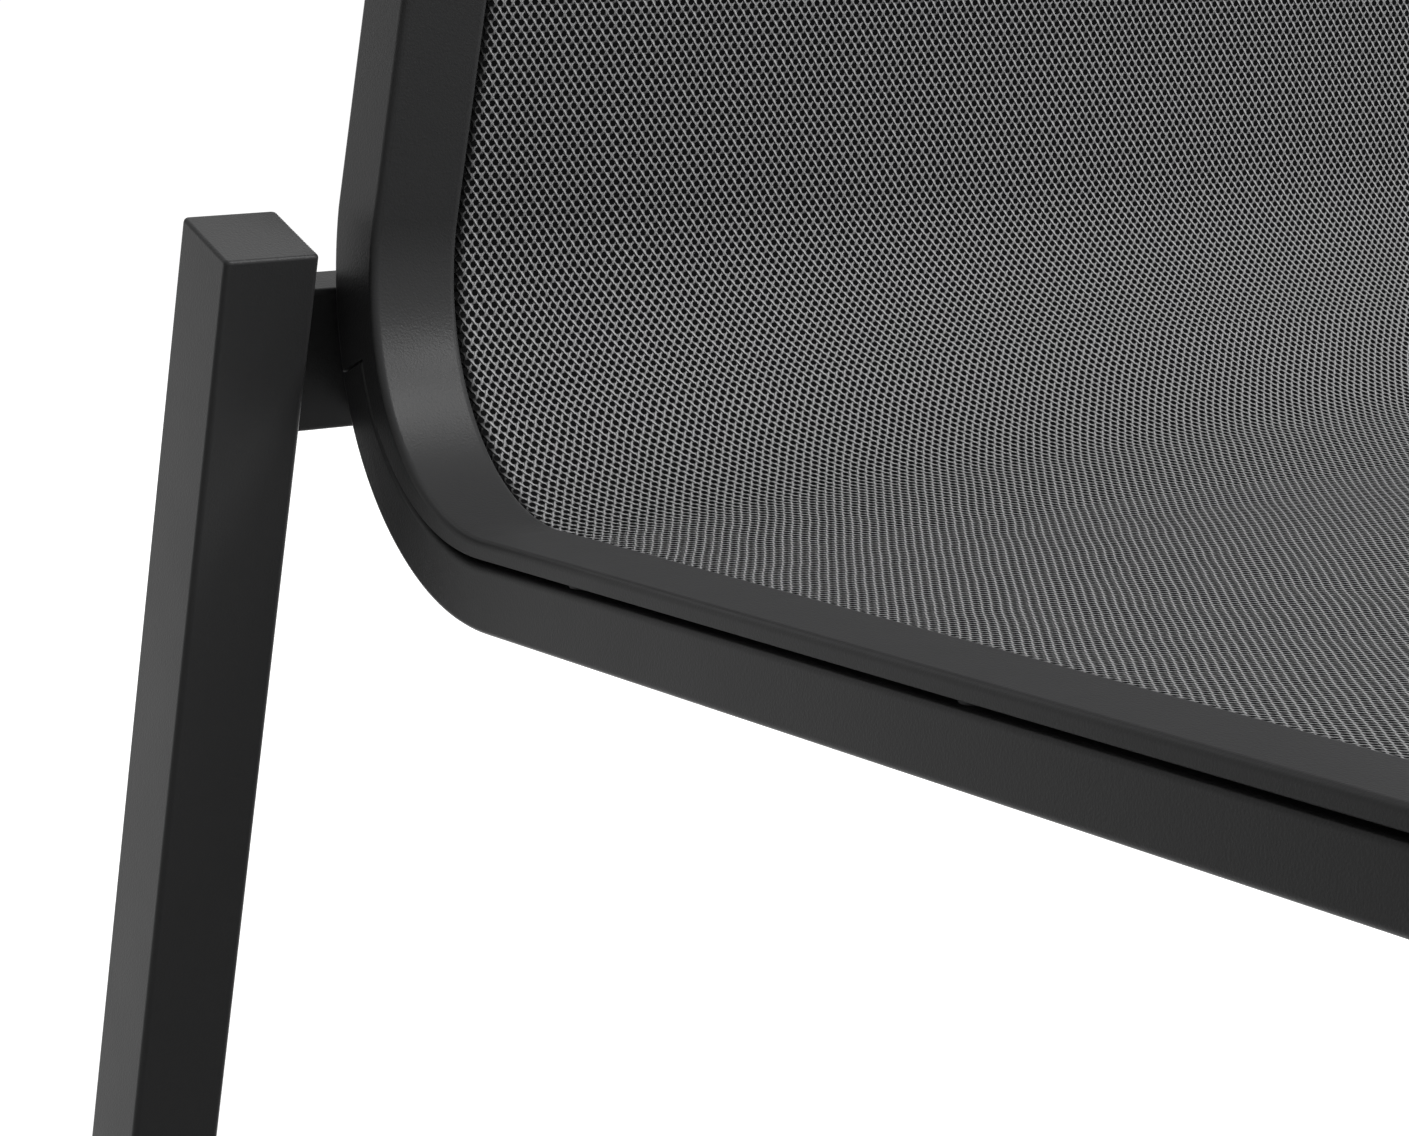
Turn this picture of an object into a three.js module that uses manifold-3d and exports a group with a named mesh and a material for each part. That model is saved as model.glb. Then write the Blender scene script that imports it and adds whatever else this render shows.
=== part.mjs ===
// Sling patio chair: four raked tube legs with two crossbars and two side tubes make the base,
// and two bent sling rails with a mesh sling stretched between them make the seat and back.
// Millimetres, +Z up, the sitter looks along -Y. The origin is on the floor under the middle.
import * as THREE from 'three';
import { mergeVertices, toCreasedNormals } from 'three/addons/utils/BufferGeometryUtils.js';
import Module from 'manifold-3d';

const wasm = await Module();
wasm.setup();

// Line of the sling rails, followed from the front edge of the seat to the top of the back
const SEAT_FRAME_WIDTH = 500;
const BEND_CENTRE_HEIGHT = 460;
const SEAT_SLOPE_DEG = 4.2;
const SEAT_STRAIGHT = 418;
const BEND_RADIUS = 59.5;
const BACK_LEAN_DEG = 5;
const LOWER_BACK = 75;
const LUMBAR_RADIUS = 450;
const BACK_RECLINE_DEG = 16;
const UPPER_BACK = 172;
const BACK_TAPER_DEG = 6.2;
const TAPER_RUN = 90;

// Section of a sling rail: wide face towards the sitter, groove for the sling on the inner side
const RAIL_WIDTH = 23;
const RAIL_DEPTH = 22.6;
const RAIL_WALL = 1.6;
const RAIL_EDGE_RADIUS = 2;
const LIP = 4.6;
const LIP_AT_SEAM = 8.9;
const SHADOW_GAP = 1.4;
const GAP_CLOSES_OVER = 38;
const SEAM_DROP_DEG = 24;
const SEAM_GAP = 0.4;
const CHANNEL_RADIUS = 2.9;
const CHANNEL_INSET = 4.6;
const SLOT_DEPTH_FROM_FACE = 4.3;
const SLOT_WIDTH = 1.6;

// Side tube under the lip of the sling rail
const SIDE_TUBE_WIDTH = 14;
const SIDE_TUBE_WALL = 1.6;
const SIDE_TUBE_CLOSED_END = 2;

// Legs
const LEG_WIDTH = 25;
const LEG_DEPTH = 27.6;
const LEG_WALL = 1.8;
const LEG_TOP_WALL = 2.5;
const LEG_CORNER_RADIUS = 1.6;
const LEG_TOP_ROUND = 1;
const LEG_TO_RAIL = 7.3;
const LEG_SPLAY_DEG = 1.6;
const REAR_LEG_BEHIND_BEND = 64.4;
const REAR_LEG_TOP_DROP = 1.9;
const REAR_RAKE_DEG = 13.25;
const REAR_TOP_CUT_DEG = 16.2;
const FRONT_LEG_SET_BACK = 24;

// Crossbars from leg to leg
const BAR_DEPTH = 13;
const BAR_HEIGHT = 38.6;
const BAR_WALL = 1.6;
const BAR_CORNER_RADIUS = 1.5;
const BAR_BELOW_LEG_TOP = 15.2;
const REAR_BAR_SET_BACK = 13.8;

// Glides in the feet
const GLIDE_LIP = 3;
const GLIDE_CHAMFER = 0.8;
const GLIDE_PLUG = 14;

// Sling and its edge rods
const SLING_THICKNESS = 0.9;
const SLEEVE_RADIUS = 2.6;
const SLEEVE_BORE = 2;
const KEDER_RADIUS = 1.7;
const SLING_END_MARGIN = 1;
const SEAT_SAG = 5;
const BEND_LIFT = 7;
const LUMBAR_SAG = 5;
const SEAT_SAG_RUN = 330;
const BEND_LIFT_RUN = 190;
const LUMBAR_SAG_RUN = 260;

// Bars that hold the two sling rails apart
const SPREADER_WIDTH = 20;
const SPREADER_THICKNESS = 11;
const SPREADER_FACE_DEPTH = 9.8;
const SPREADER_CORNER = 2;
const FRONT_SPREADER_IN = 16;
const TOP_SPREADER_IN = 22;
const MID_SPREADER_RISE = 200;
const MID_SPREADER_BOW = 26;
const SPREADER_STRAIGHT_END = 20;

// Blocks between the rear crossbar and the inner webs of the sling rails
const SADDLE_WIDTH = 9.4;
const SADDLE_INSET = 13.6;
const SADDLE_HEIGHT = 32;
const SADDLE_TOP_BELOW_BAR_TOP = 3;
const SADDLE_REACH = 42;

// Plastic caps in the open ends of the rails and side tubes
const CAP_PLATE = 2.5;
const CAP_PLUG = 8;
const CAP_ROUND = 0.8;

// Fasteners
const BOLT_RADIUS = 3;
const HOLE_RADIUS = 3.3;
const BOLT_HEAD_RADIUS = 5.4;
const COUNTERSINK = 2.6;
const BOLT_TIP_COVER = 1.3;
const WASHER_RADIUS = 5;
const WASHER_PLAY = 0.2;
const SEAT_BOLT_SHARES = [0.84, 0.47, 0.1];
const REAR_BOLT_SHARES = [0.24, 0.7];
const REAR_BOLT_BITE = 8;
const ROUND_HEAD_RADIUS = 5.2;
const ROUND_HEAD_HEIGHT = 2.8;
const SCREW_RADIUS = 2.4;
const SCREW_HOLE_RADIUS = 2.7;
const SCREW_HEAD_RADIUS = 4.4;
const SCREW_HEAD_HEIGHT = 2.4;
const SCREW_BITE = 14;

// Clearances
const FIT_GAP = 0.3;
const OVERRUN = 6;

// Shape of the fasteners' heads and of the rounded leg tops
const DOME_TOP_SHARE = 0.6;
const DOME_EDGE_SHARE = 0.5;
const ROUND_SHARE = 0.3;

// Counts
const SEAT_STEPS = 6;
const BEND_STEPS_BELOW_SEAM = 10;
const BEND_STEPS_ABOVE_SEAM = 4;
const LUMBAR_STEPS = 6;
const CORNER_STEPS = 2;
const CHANNEL_STEPS = 6;
const ROD_SIDES = 6;
const ROUND_SIDES = 10;
const SLING_COLUMNS = 6;
const BOW_STEPS = 8;
const CREASE_DEG = 30;

// Finishes
function finish(color, roughness, metalness) {
  return () => new THREE.MeshStandardMaterial({ color, roughness, metalness });
}
const powderCoat = finish(0x38393b, 0.55, 0.2);
const meshFabric = finish(0x4a4b4d, 0.8, 0);
const blackPlastic = finish(0x1c1d1e, 0.6, 0);
const darkSteel = finish(0x2a2b2d, 0.45, 0.7);

// Values worked out from the sizes above
const rad = THREE.MathUtils.degToRad;
const slope = rad(SEAT_SLOPE_DEG);
const lean = rad(BACK_LEAN_DEG);
const recline = rad(BACK_RECLINE_DEG);
const taper = Math.tan(rad(BACK_TAPER_DEG));
const splay = Math.tan(rad(LEG_SPLAY_DEG));
const bendStart = -Math.PI / 2 - slope;
const bendLength = BEND_RADIUS * (lean - bendStart);
const seamAt = BEND_RADIUS * (-rad(SEAM_DROP_DEG) - bendStart);
const lumbarStart = bendLength + LOWER_BACK;
const lumbarLength = LUMBAR_RADIUS * (lean + recline);
const upperStart = lumbarStart + lumbarLength;
const railFront = -SEAT_STRAIGHT;
const railTop = upperStart + UPPER_BACK;
const halfFrame = SEAT_FRAME_WIDTH / 2;
const notchWidth = SIDE_TUBE_WIDTH + FIT_GAP;
const tubeFace = LIP + SHADOW_GAP;
const legHalf = halfFrame + LEG_TO_RAIL + LEG_WIDTH;
const slotTop = SLOT_DEPTH_FROM_FACE - SLOT_WIDTH / 2;
const slotBottom = SLOT_DEPTH_FROM_FACE + SLOT_WIDTH / 2;

// Leg frames in the side plane. rake is positive when the foot stands behind the top.
const rearLeg = { rake: rad(REAR_RAKE_DEG), cut: rad(REAR_TOP_CUT_DEG), barSetBack: REAR_BAR_SET_BACK };
const frontLeg = { rake: -slope, cut: -slope, barSetBack: (LEG_DEPTH - BAR_DEPTH) / 2 };
const rearTopHeight = BEND_CENTRE_HEIGHT - REAR_LEG_TOP_DROP;
const frontCentre = railFront + FRONT_LEG_SET_BACK;
const frontTopDepth = RAIL_DEPTH + FIT_GAP - BAR_BELOW_LEG_TOP;

// Height and reach of the seat line, measured from the bend's centre
function seatLine(along, depth) {
  const out = BEND_RADIUS + depth;
  return {
    y: -out * Math.sin(slope) + along * Math.cos(slope),
    z: -out * Math.cos(slope) - along * Math.sin(slope),
  };
}
const frontCorner = seatLine(frontCentre - LEG_DEPTH / 2, frontTopDepth);
const frontReach = -frontCorner.y + (BEND_CENTRE_HEIGHT + frontCorner.z) * Math.tan(slope);
const rearDepthAtFloor = LEG_DEPTH * (Math.cos(rearLeg.cut) + Math.sin(rearLeg.cut) * Math.tan(rearLeg.rake));
const rearReach = REAR_LEG_BEHIND_BEND + rearTopHeight * Math.tan(rearLeg.rake) + rearDepthAtFloor;
const bendCentre = new THREE.Vector2((frontReach - rearReach) / 2, BEND_CENTRE_HEIGHT);
rearLeg.corner = new THREE.Vector3(-legHalf, bendCentre.x + REAR_LEG_BEHIND_BEND, rearTopHeight);
frontLeg.corner = new THREE.Vector3(-legHalf, bendCentre.x + frontCorner.y, bendCentre.y + frontCorner.z);

// Place along the line of a sling rail: face point, direction into the rail, and inward offset
function railStation(along) {
  const inBend = THREE.MathUtils.clamp(along, 0, bendLength);
  const bentShare = inBend / bendLength;
  let angle = bendStart + inBend / BEND_RADIUS;
  let y = bendCentre.x + BEND_RADIUS * Math.cos(angle);
  let z = bendCentre.y + BEND_RADIUS * Math.sin(angle);
  if (along < 0) {
    y += along * Math.cos(slope);
    z -= along * Math.sin(slope);
  }
  if (along > bendLength) {
    const rise = Math.min(along, lumbarStart) - bendLength;
    y -= rise * Math.sin(lean);
    z += rise * Math.cos(lean);
  }
  if (along > lumbarStart) {
    const swept = Math.min(along, upperStart) - lumbarStart;
    const next = lean - swept / LUMBAR_RADIUS;
    y += LUMBAR_RADIUS * (Math.cos(lean) - Math.cos(next));
    z += LUMBAR_RADIUS * (Math.sin(lean) - Math.sin(next));
    angle = next;
  }
  if (along > upperStart) {
    y += (along - upperStart) * Math.sin(recline);
    z += (along - upperStart) * Math.cos(recline);
  }
  const inward = taper * (TAPER_RUN * bentShare * bentShare / 2 + Math.max(0, along - bendLength));
  return { along, y, z, ny: Math.cos(angle), nz: Math.sin(angle), inward };
}

// A point of the sitter's right-hand rail: across from its outer face, deep from its wide face
function railPoint(station, across, deep) {
  const x = -halfFrame + station.inward + across;
  return new THREE.Vector3(x, station.y + deep * station.ny, station.z + deep * station.nz);
}

// Thickness of the lip, and depth of the side tube's top face, which both follow the bend to the seam
function lipAt(along) {
  return LIP + (LIP_AT_SEAM - LIP) * THREE.MathUtils.smoothstep(along, 0, seamAt);
}

function tubeFaceAt(along) {
  const closed = THREE.MathUtils.smoothstep(along, 0, GAP_CLOSES_OVER);
  return lipAt(along) + THREE.MathUtils.lerp(SHADOW_GAP, FIT_GAP, closed);
}

// Evenly spaced places, both ends included
function spread(from, to, steps) {
  return Array.from({ length: steps + 1 }, (_, i) => from + (to - from) * i / steps);
}

const railPlaces = [
  railFront,
  ...spread(0, seamAt, BEND_STEPS_BELOW_SEAM),
  ...spread(seamAt, bendLength, BEND_STEPS_ABOVE_SEAM).slice(1),
  ...spread(lumbarStart, upperStart, LUMBAR_STEPS),
  railTop,
];

// Stations of the rail line between two places, with those two as the ends
function stationsBetween(from, to, extra = []) {
  const inside = [...railPlaces, ...extra].filter((place) => place > from && place < to);
  return [from, ...inside.sort((a, b) => a - b), to].map(railStation);
}

// Rings of points, anticlockwise: any corners, arc, circle, sharp rectangle and corner-rounded rectangle
const ringOf = (corners) => corners.map(([x, y]) => new THREE.Vector2(x, y));
const clockwise = (ring) => [...ring].reverse();

function arcPoints(x, y, radius, from, to, steps) {
  return spread(from, to, steps)
    .map((angle) => new THREE.Vector2(x + radius * Math.cos(angle), y + radius * Math.sin(angle)));
}

function circle(x, y, radius, sides) {
  return arcPoints(x, y, radius, 0, 2 * Math.PI, sides).slice(0, sides);
}

function plainBox(left, low, right, high) {
  return ringOf([[left, low], [right, low], [right, high], [left, high]]);
}

function roundedBox(left, low, right, high, radius) {
  const centres = plainBox(left + radius, low + radius, right - radius, high - radius);
  const fromLowRight = [...centres.slice(1), centres[0]];
  return fromLowRight.flatMap(({ x, y }, i) => {
    const end = i * Math.PI / 2;
    return arcPoints(x, y, radius, end - Math.PI / 2, end, CORNER_STEPS);
  });
}

// Closed body lofted through rings of points; holes run through it from end to end
function loft(stations, outline, holes, place) {
  const points = [outline, ...holes].flat();
  const count = points.length;
  const positions = [];
  for (const station of stations) {
    points.forEach((point) => positions.push(...place(station, point).toArray()));
  }
  const index = [];
  let start = 0;
  for (const ring of [outline, ...holes]) {
    for (let s = 0; s < stations.length - 1; s += 1) {
      for (let i = 0; i < ring.length; i += 1) {
        const here = s * count + start + i;
        const beside = s * count + start + (i + 1) % ring.length;
        index.push(here, beside, beside + count, here, beside + count, here + count);
      }
    }
    start += ring.length;
  }
  const last = (stations.length - 1) * count;
  for (const [a, b, c] of THREE.ShapeUtils.triangulateShape(outline, holes)) {
    index.push(a, c, b, last + a, last + b, last + c);
  }
  const geometry = new THREE.BufferGeometry();
  geometry.setAttribute('position', new THREE.Float32BufferAttribute(positions, 3));
  geometry.setIndex(index);
  return geometry;
}

// Rail-line body with the same section all the way
const alongRail = (stations, outline, holes = []) => loft(stations, outline, holes,
  (station, point) => railPoint(station, point.x, point.y));

// Rail-line body whose depths below a face stretch, so that the face follows the bend to the seam
function alongFace(stations, outline, face, faceAt) {
  return loft(stations, outline, [], (station, point) => {
    const stretch = (RAIL_DEPTH - faceAt(station.along)) / (RAIL_DEPTH - face);
    return railPoint(station, point.x, RAIL_DEPTH - (RAIL_DEPTH - point.y) * stretch);
  });
}

// Joining and cutting
function toSolid(geometry) {
  const bare = geometry.clone();
  bare.deleteAttribute('normal');
  bare.deleteAttribute('uv');
  const merged = mergeVertices(bare);
  return new wasm.Manifold(new wasm.Mesh({
    numProp: 3,
    vertProperties: new Float32Array(merged.attributes.position.array),
    triVerts: new Uint32Array(merged.index.array),
  }));
}

function toGeometry(solid) {
  const mesh = solid.getMesh();
  const geometry = new THREE.BufferGeometry();
  geometry.setAttribute('position', new THREE.BufferAttribute(new Float32Array(mesh.vertProperties), 3));
  geometry.setIndex(Array.from(mesh.triVerts));
  return geometry;
}

function cutFrom(geometry, cutters) {
  return toGeometry(cutters.reduce((solid, cutter) => solid.subtract(toSolid(cutter)), toSolid(geometry)));
}

function joined(first, second) {
  return toGeometry(toSolid(first).add(toSolid(second)));
}

// Mirror image for the sitter's left-hand side
function mirrored(geometry) {
  const copy = geometry.clone();
  copy.scale(-1, 1, 1);
  const order = copy.index.array;
  for (let i = 0; i < order.length; i += 3) {
    [order[i + 1], order[i + 2]] = [order[i + 2], order[i + 1]];
  }
  return copy;
}

// Turned piece: a profile of radius and height, stood at a point along a direction
function turned(profile, origin, direction) {
  const geometry = new THREE.LatheGeometry(ringOf(profile), ROUND_SIDES);
  const up = new THREE.Vector3(0, 1, 0);
  geometry.applyQuaternion(new THREE.Quaternion().setFromUnitVectors(up, direction.clone().normalize()));
  geometry.translate(origin.x, origin.y, origin.z);
  geometry.deleteAttribute('normal');
  geometry.deleteAttribute('uv');
  return mergeVertices(geometry);
}

function pin(radius, length, origin, direction) {
  return turned([[0, 0], [radius, 0], [radius, length], [0, length]], origin, direction);
}

// Round-headed fastener that bears on its seat at height zero, with the head held clear by a gap
function roundHeaded(head, shankRadius, length, clear, seat, direction) {
  const top = -clear - head.height;
  return turned([
    [0, top],
    [head.radius * DOME_TOP_SHARE, top],
    [head.radius, top + head.height * DOME_EDGE_SHARE],
    [head.radius, -clear],
    [shankRadius, -clear],
    [shankRadius, length],
    [0, length],
  ], seat, direction);
}

// Sling rail: full section above the seam, and below it a lip over an inner web
function railOutline() {
  const box = roundedBox(0, 0, RAIL_WIDTH, RAIL_DEPTH, RAIL_EDGE_RADIUS);
  const innerSideFrom = CORNER_STEPS + 1;
  const mouth = Math.asin(SLOT_WIDTH / 2 / CHANNEL_RADIUS);
  const channel = arcPoints(RAIL_WIDTH - CHANNEL_INSET, SLOT_DEPTH_FROM_FACE, CHANNEL_RADIUS,
    -mouth, mouth - 2 * Math.PI, CHANNEL_STEPS);
  const [lipOfSlot, floorOfSlot] = ringOf([[RAIL_WIDTH, slotTop], [RAIL_WIDTH, slotBottom]]);
  return [...box.slice(0, innerSideFrom), lipOfSlot, ...channel, floorOfSlot, ...box.slice(innerSideFrom)];
}

const webCell = { low: SLOT_DEPTH_FROM_FACE + CHANNEL_RADIUS + RAIL_WALL, high: RAIL_DEPTH - RAIL_WALL };

function slingRail() {
  const cell = plainBox(notchWidth + RAIL_WALL, webCell.low, RAIL_WIDTH - RAIL_WALL, webCell.high);
  const body = alongRail(stationsBetween(railFront, railTop), railOutline(), [clockwise(cell)]);
  const notch = alongFace(stationsBetween(railFront - OVERRUN, seamAt),
    plainBox(-OVERRUN, LIP, notchWidth, RAIL_DEPTH + OVERRUN), LIP, lipAt);
  const outerCell = alongRail(stationsBetween(seamAt + RAIL_WALL, railTop + OVERRUN),
    plainBox(RAIL_WALL, RAIL_WALL, notchWidth - RAIL_WALL, RAIL_DEPTH - RAIL_WALL));
  return cutFrom(body, [notch, outerCell, ...seatBoltHoles(), ...rearBoltHoles(), ...spreaderScrewHoles()]);
}

// Side tube: follows the rail under its lip, closed at the seam and open at the front
function seatSideTube() {
  const rearEnd = seamAt - SEAM_GAP;
  const outline = roundedBox(0, tubeFace, SIDE_TUBE_WIDTH, RAIL_DEPTH, RAIL_EDGE_RADIUS);
  const hollow = plainBox(SIDE_TUBE_WALL, tubeFace + SIDE_TUBE_WALL,
    SIDE_TUBE_WIDTH - SIDE_TUBE_WALL, RAIL_DEPTH - SIDE_TUBE_WALL);
  const body = alongFace(stationsBetween(railFront, rearEnd), outline, tubeFace, tubeFaceAt);
  const insideStations = stationsBetween(railFront - OVERRUN, rearEnd - SIDE_TUBE_CLOSED_END);
  const inside = alongFace(insideStations, hollow, tubeFace, tubeFaceAt);
  return cutFrom(body, [inside, ...seatBoltHoles(), ...rearBoltHoles(), ...spreaderScrewHoles()]);
}

// Countersunk bolts that come up through the side tube into the lip, with a washer in the shadow gap
const seatUp = new THREE.Vector3(0, Math.sin(slope), Math.cos(slope));
const seatBoltFoot = (along) => railPoint(railStation(along), SIDE_TUBE_WIDTH / 2, RAIL_DEPTH);
const seatBoltLength = RAIL_DEPTH - BOLT_TIP_COVER;

const seatBoltPlaces = SEAT_BOLT_SHARES.map((share) => railFront * share);

function seatBolt(along) {
  return turned([
    [0, 0],
    [BOLT_HEAD_RADIUS, 0],
    [BOLT_RADIUS, COUNTERSINK],
    [BOLT_RADIUS, seatBoltLength],
    [0, seatBoltLength],
  ], seatBoltFoot(along), seatUp);
}

function seatBoltHoles() {
  const wide = BOLT_HEAD_RADIUS + FIT_GAP;
  const top = seatBoltLength + FIT_GAP;
  const sink = COUNTERSINK + FIT_GAP;
  return seatBoltPlaces.map((along) => turned([
    [0, -OVERRUN],
    [wide, -OVERRUN],
    [wide, 0],
    [HOLE_RADIUS, sink],
    [HOLE_RADIUS, top],
    [0, top],
  ], seatBoltFoot(along), seatUp));
}

function seatWasher(along) {
  const low = WASHER_PLAY;
  const high = SHADOW_GAP - WASHER_PLAY;
  const foot = railPoint(railStation(along), SIDE_TUBE_WIDTH / 2, tubeFace);
  return turned([
    [HOLE_RADIUS, low],
    [WASHER_RADIUS, low],
    [WASHER_RADIUS, high],
    [HOLE_RADIUS, high],
    [HOLE_RADIUS, low],
  ], foot, seatUp);
}

// Leg: tube closed at its cut top and open at the foot
function legDown(leg) {
  return new THREE.Vector3(-splay, Math.tan(leg.rake), -1);
}

// A point of a leg's section, given across and rearward from the outer front corner of its top
function legTopPoint(leg, across, rearward) {
  const point = leg.corner.clone();
  point.x += across;
  point.y += rearward * Math.cos(leg.cut);
  point.z += rearward * Math.sin(leg.cut);
  return point;
}

function legPointBelowTop(leg, across, rearward, drop) {
  return legTopPoint(leg, across, rearward).addScaledVector(legDown(leg), drop);
}

function legPointAtHeight(leg, across, rearward, height) {
  const top = legTopPoint(leg, across, rearward);
  return top.addScaledVector(legDown(leg), top.z - height);
}

// Ring stations of a leg, each shrunk towards the section's centre and set at a height or a drop
function alongLeg(leg, stations, margin, radius) {
  const halfWidth = LEG_WIDTH / 2 - margin;
  const halfDepth = LEG_DEPTH / 2 - margin;
  const outline = roundedBox(-halfWidth, -halfDepth, halfWidth, halfDepth, radius);
  return loft(stations, outline, [], (station, point) => {
    const shrinkAcross = 1 - station.inset / halfWidth;
    const shrinkDeep = 1 - station.inset / halfDepth;
    const across = LEG_WIDTH / 2 + point.x * shrinkAcross;
    const rearward = LEG_DEPTH / 2 + point.y * shrinkDeep;
    return station.height === undefined
      ? legPointBelowTop(leg, across, rearward, station.drop)
      : legPointAtHeight(leg, across, rearward, station.height);
  });
}

function legTube(leg) {
  const outside = alongLeg(leg, [
    { height: GLIDE_LIP + FIT_GAP, inset: 0 },
    { drop: LEG_TOP_ROUND, inset: 0 },
    { drop: LEG_TOP_ROUND * ROUND_SHARE, inset: LEG_TOP_ROUND * ROUND_SHARE },
    { drop: 0, inset: LEG_TOP_ROUND },
  ], 0, LEG_CORNER_RADIUS);
  const inside = alongLeg(leg, [
    { height: GLIDE_LIP - OVERRUN, inset: 0 },
    { drop: LEG_TOP_WALL, inset: 0 },
  ], LEG_WALL, LEG_CORNER_RADIUS);
  return cutFrom(outside, [inside]);
}

// Glide: a pad the size of the leg with a plug up inside it
function footGlide(leg) {
  const plugInset = LEG_WALL + FIT_GAP;
  return alongLeg(leg, [
    { height: 0, inset: GLIDE_CHAMFER },
    { height: GLIDE_CHAMFER, inset: 0 },
    { height: GLIDE_LIP, inset: 0 },
    { height: GLIDE_LIP, inset: plugInset },
    { height: GLIDE_LIP + GLIDE_PLUG, inset: plugInset },
  ], 0, LEG_CORNER_RADIUS);
}

// Side-plane point in a leg's own square frame: rearward from its front face, down from its top
function legFramePoint(leg, rearward, down) {
  return new THREE.Vector3(0,
    leg.corner.y + rearward * Math.cos(leg.rake) + down * Math.sin(leg.rake),
    leg.corner.z + rearward * Math.sin(leg.rake) - down * Math.cos(leg.rake));
}

// Where the inner face of the right-hand leg stands, for a place in the side plane
function legInnerFace(leg, y, z) {
  const behind = y - leg.corner.y;
  const above = z - leg.corner.z;
  const drop = (Math.tan(leg.cut) * behind - above) / (1 + Math.tan(leg.cut) * Math.tan(leg.rake));
  return leg.corner.x + LEG_WIDTH - splay * drop;
}

// Crossbar: rectangular tube that meets the inner faces of both legs
function crossbar(leg) {
  const low = BAR_BELOW_LEG_TOP;
  const high = BAR_BELOW_LEG_TOP + BAR_HEIGHT;
  const back = leg.barSetBack + BAR_DEPTH;
  const outline = roundedBox(leg.barSetBack, low, back, high, BAR_CORNER_RADIUS);
  const hollow = plainBox(leg.barSetBack + BAR_WALL, low + BAR_WALL, back - BAR_WALL, high - BAR_WALL);
  return loft([1, -1], outline, [clockwise(hollow)], (side, point) => {
    const place = legFramePoint(leg, point.x, point.y);
    place.x = -side * (legInnerFace(leg, place.y, place.z) + FIT_GAP);
    return place;
  });
}

// Saddle block: fills the wedge between the rear crossbar and the rail's web, out of sight from the side
function saddleBlock() {
  const top = BAR_BELOW_LEG_TOP + SADDLE_TOP_BELOW_BAR_TOP;
  const front = REAR_BAR_SET_BACK - FIT_GAP;
  const outline = plainBox(front - SADDLE_REACH, top, front, top + SADDLE_HEIGHT);
  return loft([SADDLE_INSET + SADDLE_WIDTH, SADDLE_INSET], outline, [], (across, point) => {
    const place = legFramePoint(rearLeg, point.x, point.y);
    place.x = -halfFrame + across;
    return place;
  });
}

function rearSaddle() {
  const clear = alongRail(stationsBetween(-OVERRUN, lumbarStart),
    plainBox(-OVERRUN, -BEND_RADIUS + OVERRUN, RAIL_WIDTH + OVERRUN, RAIL_DEPTH + FIT_GAP));
  return cutFrom(saddleBlock(), [clear, ...rearBoltHoles()]);
}

// Round-headed bolts through the rear crossbar and the saddle into the rail's inner web
const rearForward = new THREE.Vector3(0, -Math.cos(rearLeg.rake), -Math.sin(rearLeg.rake));
const rearBoltAcross = SADDLE_INSET + SADDLE_WIDTH / 2;

function rearBoltSeat(share) {
  const down = BAR_BELOW_LEG_TOP + BAR_HEIGHT * share;
  const seat = legFramePoint(rearLeg, REAR_BAR_SET_BACK + BAR_DEPTH, down);
  seat.x = -halfFrame + rearBoltAcross;
  return seat;
}

// Distance from a bolt's seat to the curved back of the side frame, along the bolt
function reachToFrame(seat) {
  const toCentreY = bendCentre.x - seat.y;
  const toCentreZ = bendCentre.y - seat.z;
  const along = toCentreY * rearForward.y + toCentreZ * rearForward.z;
  const miss = toCentreY ** 2 + toCentreZ ** 2 - along ** 2;
  return along - Math.sqrt((BEND_RADIUS + RAIL_DEPTH) ** 2 - miss);
}

function rearBolt(share) {
  const seat = rearBoltSeat(share);
  const head = { radius: ROUND_HEAD_RADIUS, height: ROUND_HEAD_HEIGHT };
  return roundHeaded(head, BOLT_RADIUS, reachToFrame(seat) + REAR_BOLT_BITE, FIT_GAP, seat, rearForward);
}

function rearBoltHoles() {
  return REAR_BOLT_SHARES.map((share) => {
    const seat = rearBoltSeat(share);
    const depth = reachToFrame(seat) + REAR_BOLT_BITE + FIT_GAP;
    const start = seat.clone().addScaledVector(rearForward, -OVERRUN);
    return pin(HOLE_RADIUS, depth + OVERRUN, start, rearForward);
  });
}

// Spreader bars between the inner faces of the two sling rails
const spreaders = [
  { name: 'seat_front_bar', along: railFront + FRONT_SPREADER_IN, bow: 0 },
  { name: 'back_mid_bar', along: bendLength + MID_SPREADER_RISE, bow: MID_SPREADER_BOW },
  { name: 'back_top_bar', along: railTop - TOP_SPREADER_IN, bow: 0 },
];

function spreaderBar({ along, bow }) {
  const half = SPREADER_WIDTH / 2;
  const back = SPREADER_FACE_DEPTH + SPREADER_THICKNESS;
  const outline = roundedBox(SPREADER_FACE_DEPTH, -half, back, half, SPREADER_CORNER);
  const middle = railStation(along);
  const rise = new THREE.Vector3(0, -middle.nz, middle.ny);
  const endOf = (place) => halfFrame - railStation(place).inward - RAIL_WIDTH - FIT_GAP;
  const bowedShare = 1 - SPREADER_STRAIGHT_END / endOf(along);
  const shares = bow > 0 ? [-1, ...spread(-bowedShare, bowedShare, BOW_STEPS), 1] : [-1, 1];
  const body = loft(shares, outline, [], (share, point) => {
    const end = endOf(along + point.y);
    const fromMiddle = Math.min(1, Math.abs(share) / bowedShare);
    const deep = point.x + bow * (1 - fromMiddle * fromMiddle);
    return new THREE.Vector3(share * end, middle.y + deep * middle.ny + point.y * rise.y,
      middle.z + deep * middle.nz + point.y * rise.z);
  });
  const bore = pin(SCREW_HOLE_RADIUS, screwLength + FIT_GAP, screwSeat(along), inwards);
  return cutFrom(body, [bore, mirrored(bore)]);
}

// Round-headed screws that hold the spreader bars, put in from the outer faces
const screwLength = RAIL_WIDTH + FIT_GAP + SCREW_BITE;
const inwards = new THREE.Vector3(1, 0, 0);

function screwSeat(along) {
  return railPoint(railStation(along), 0, SPREADER_FACE_DEPTH + SPREADER_THICKNESS / 2);
}

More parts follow.
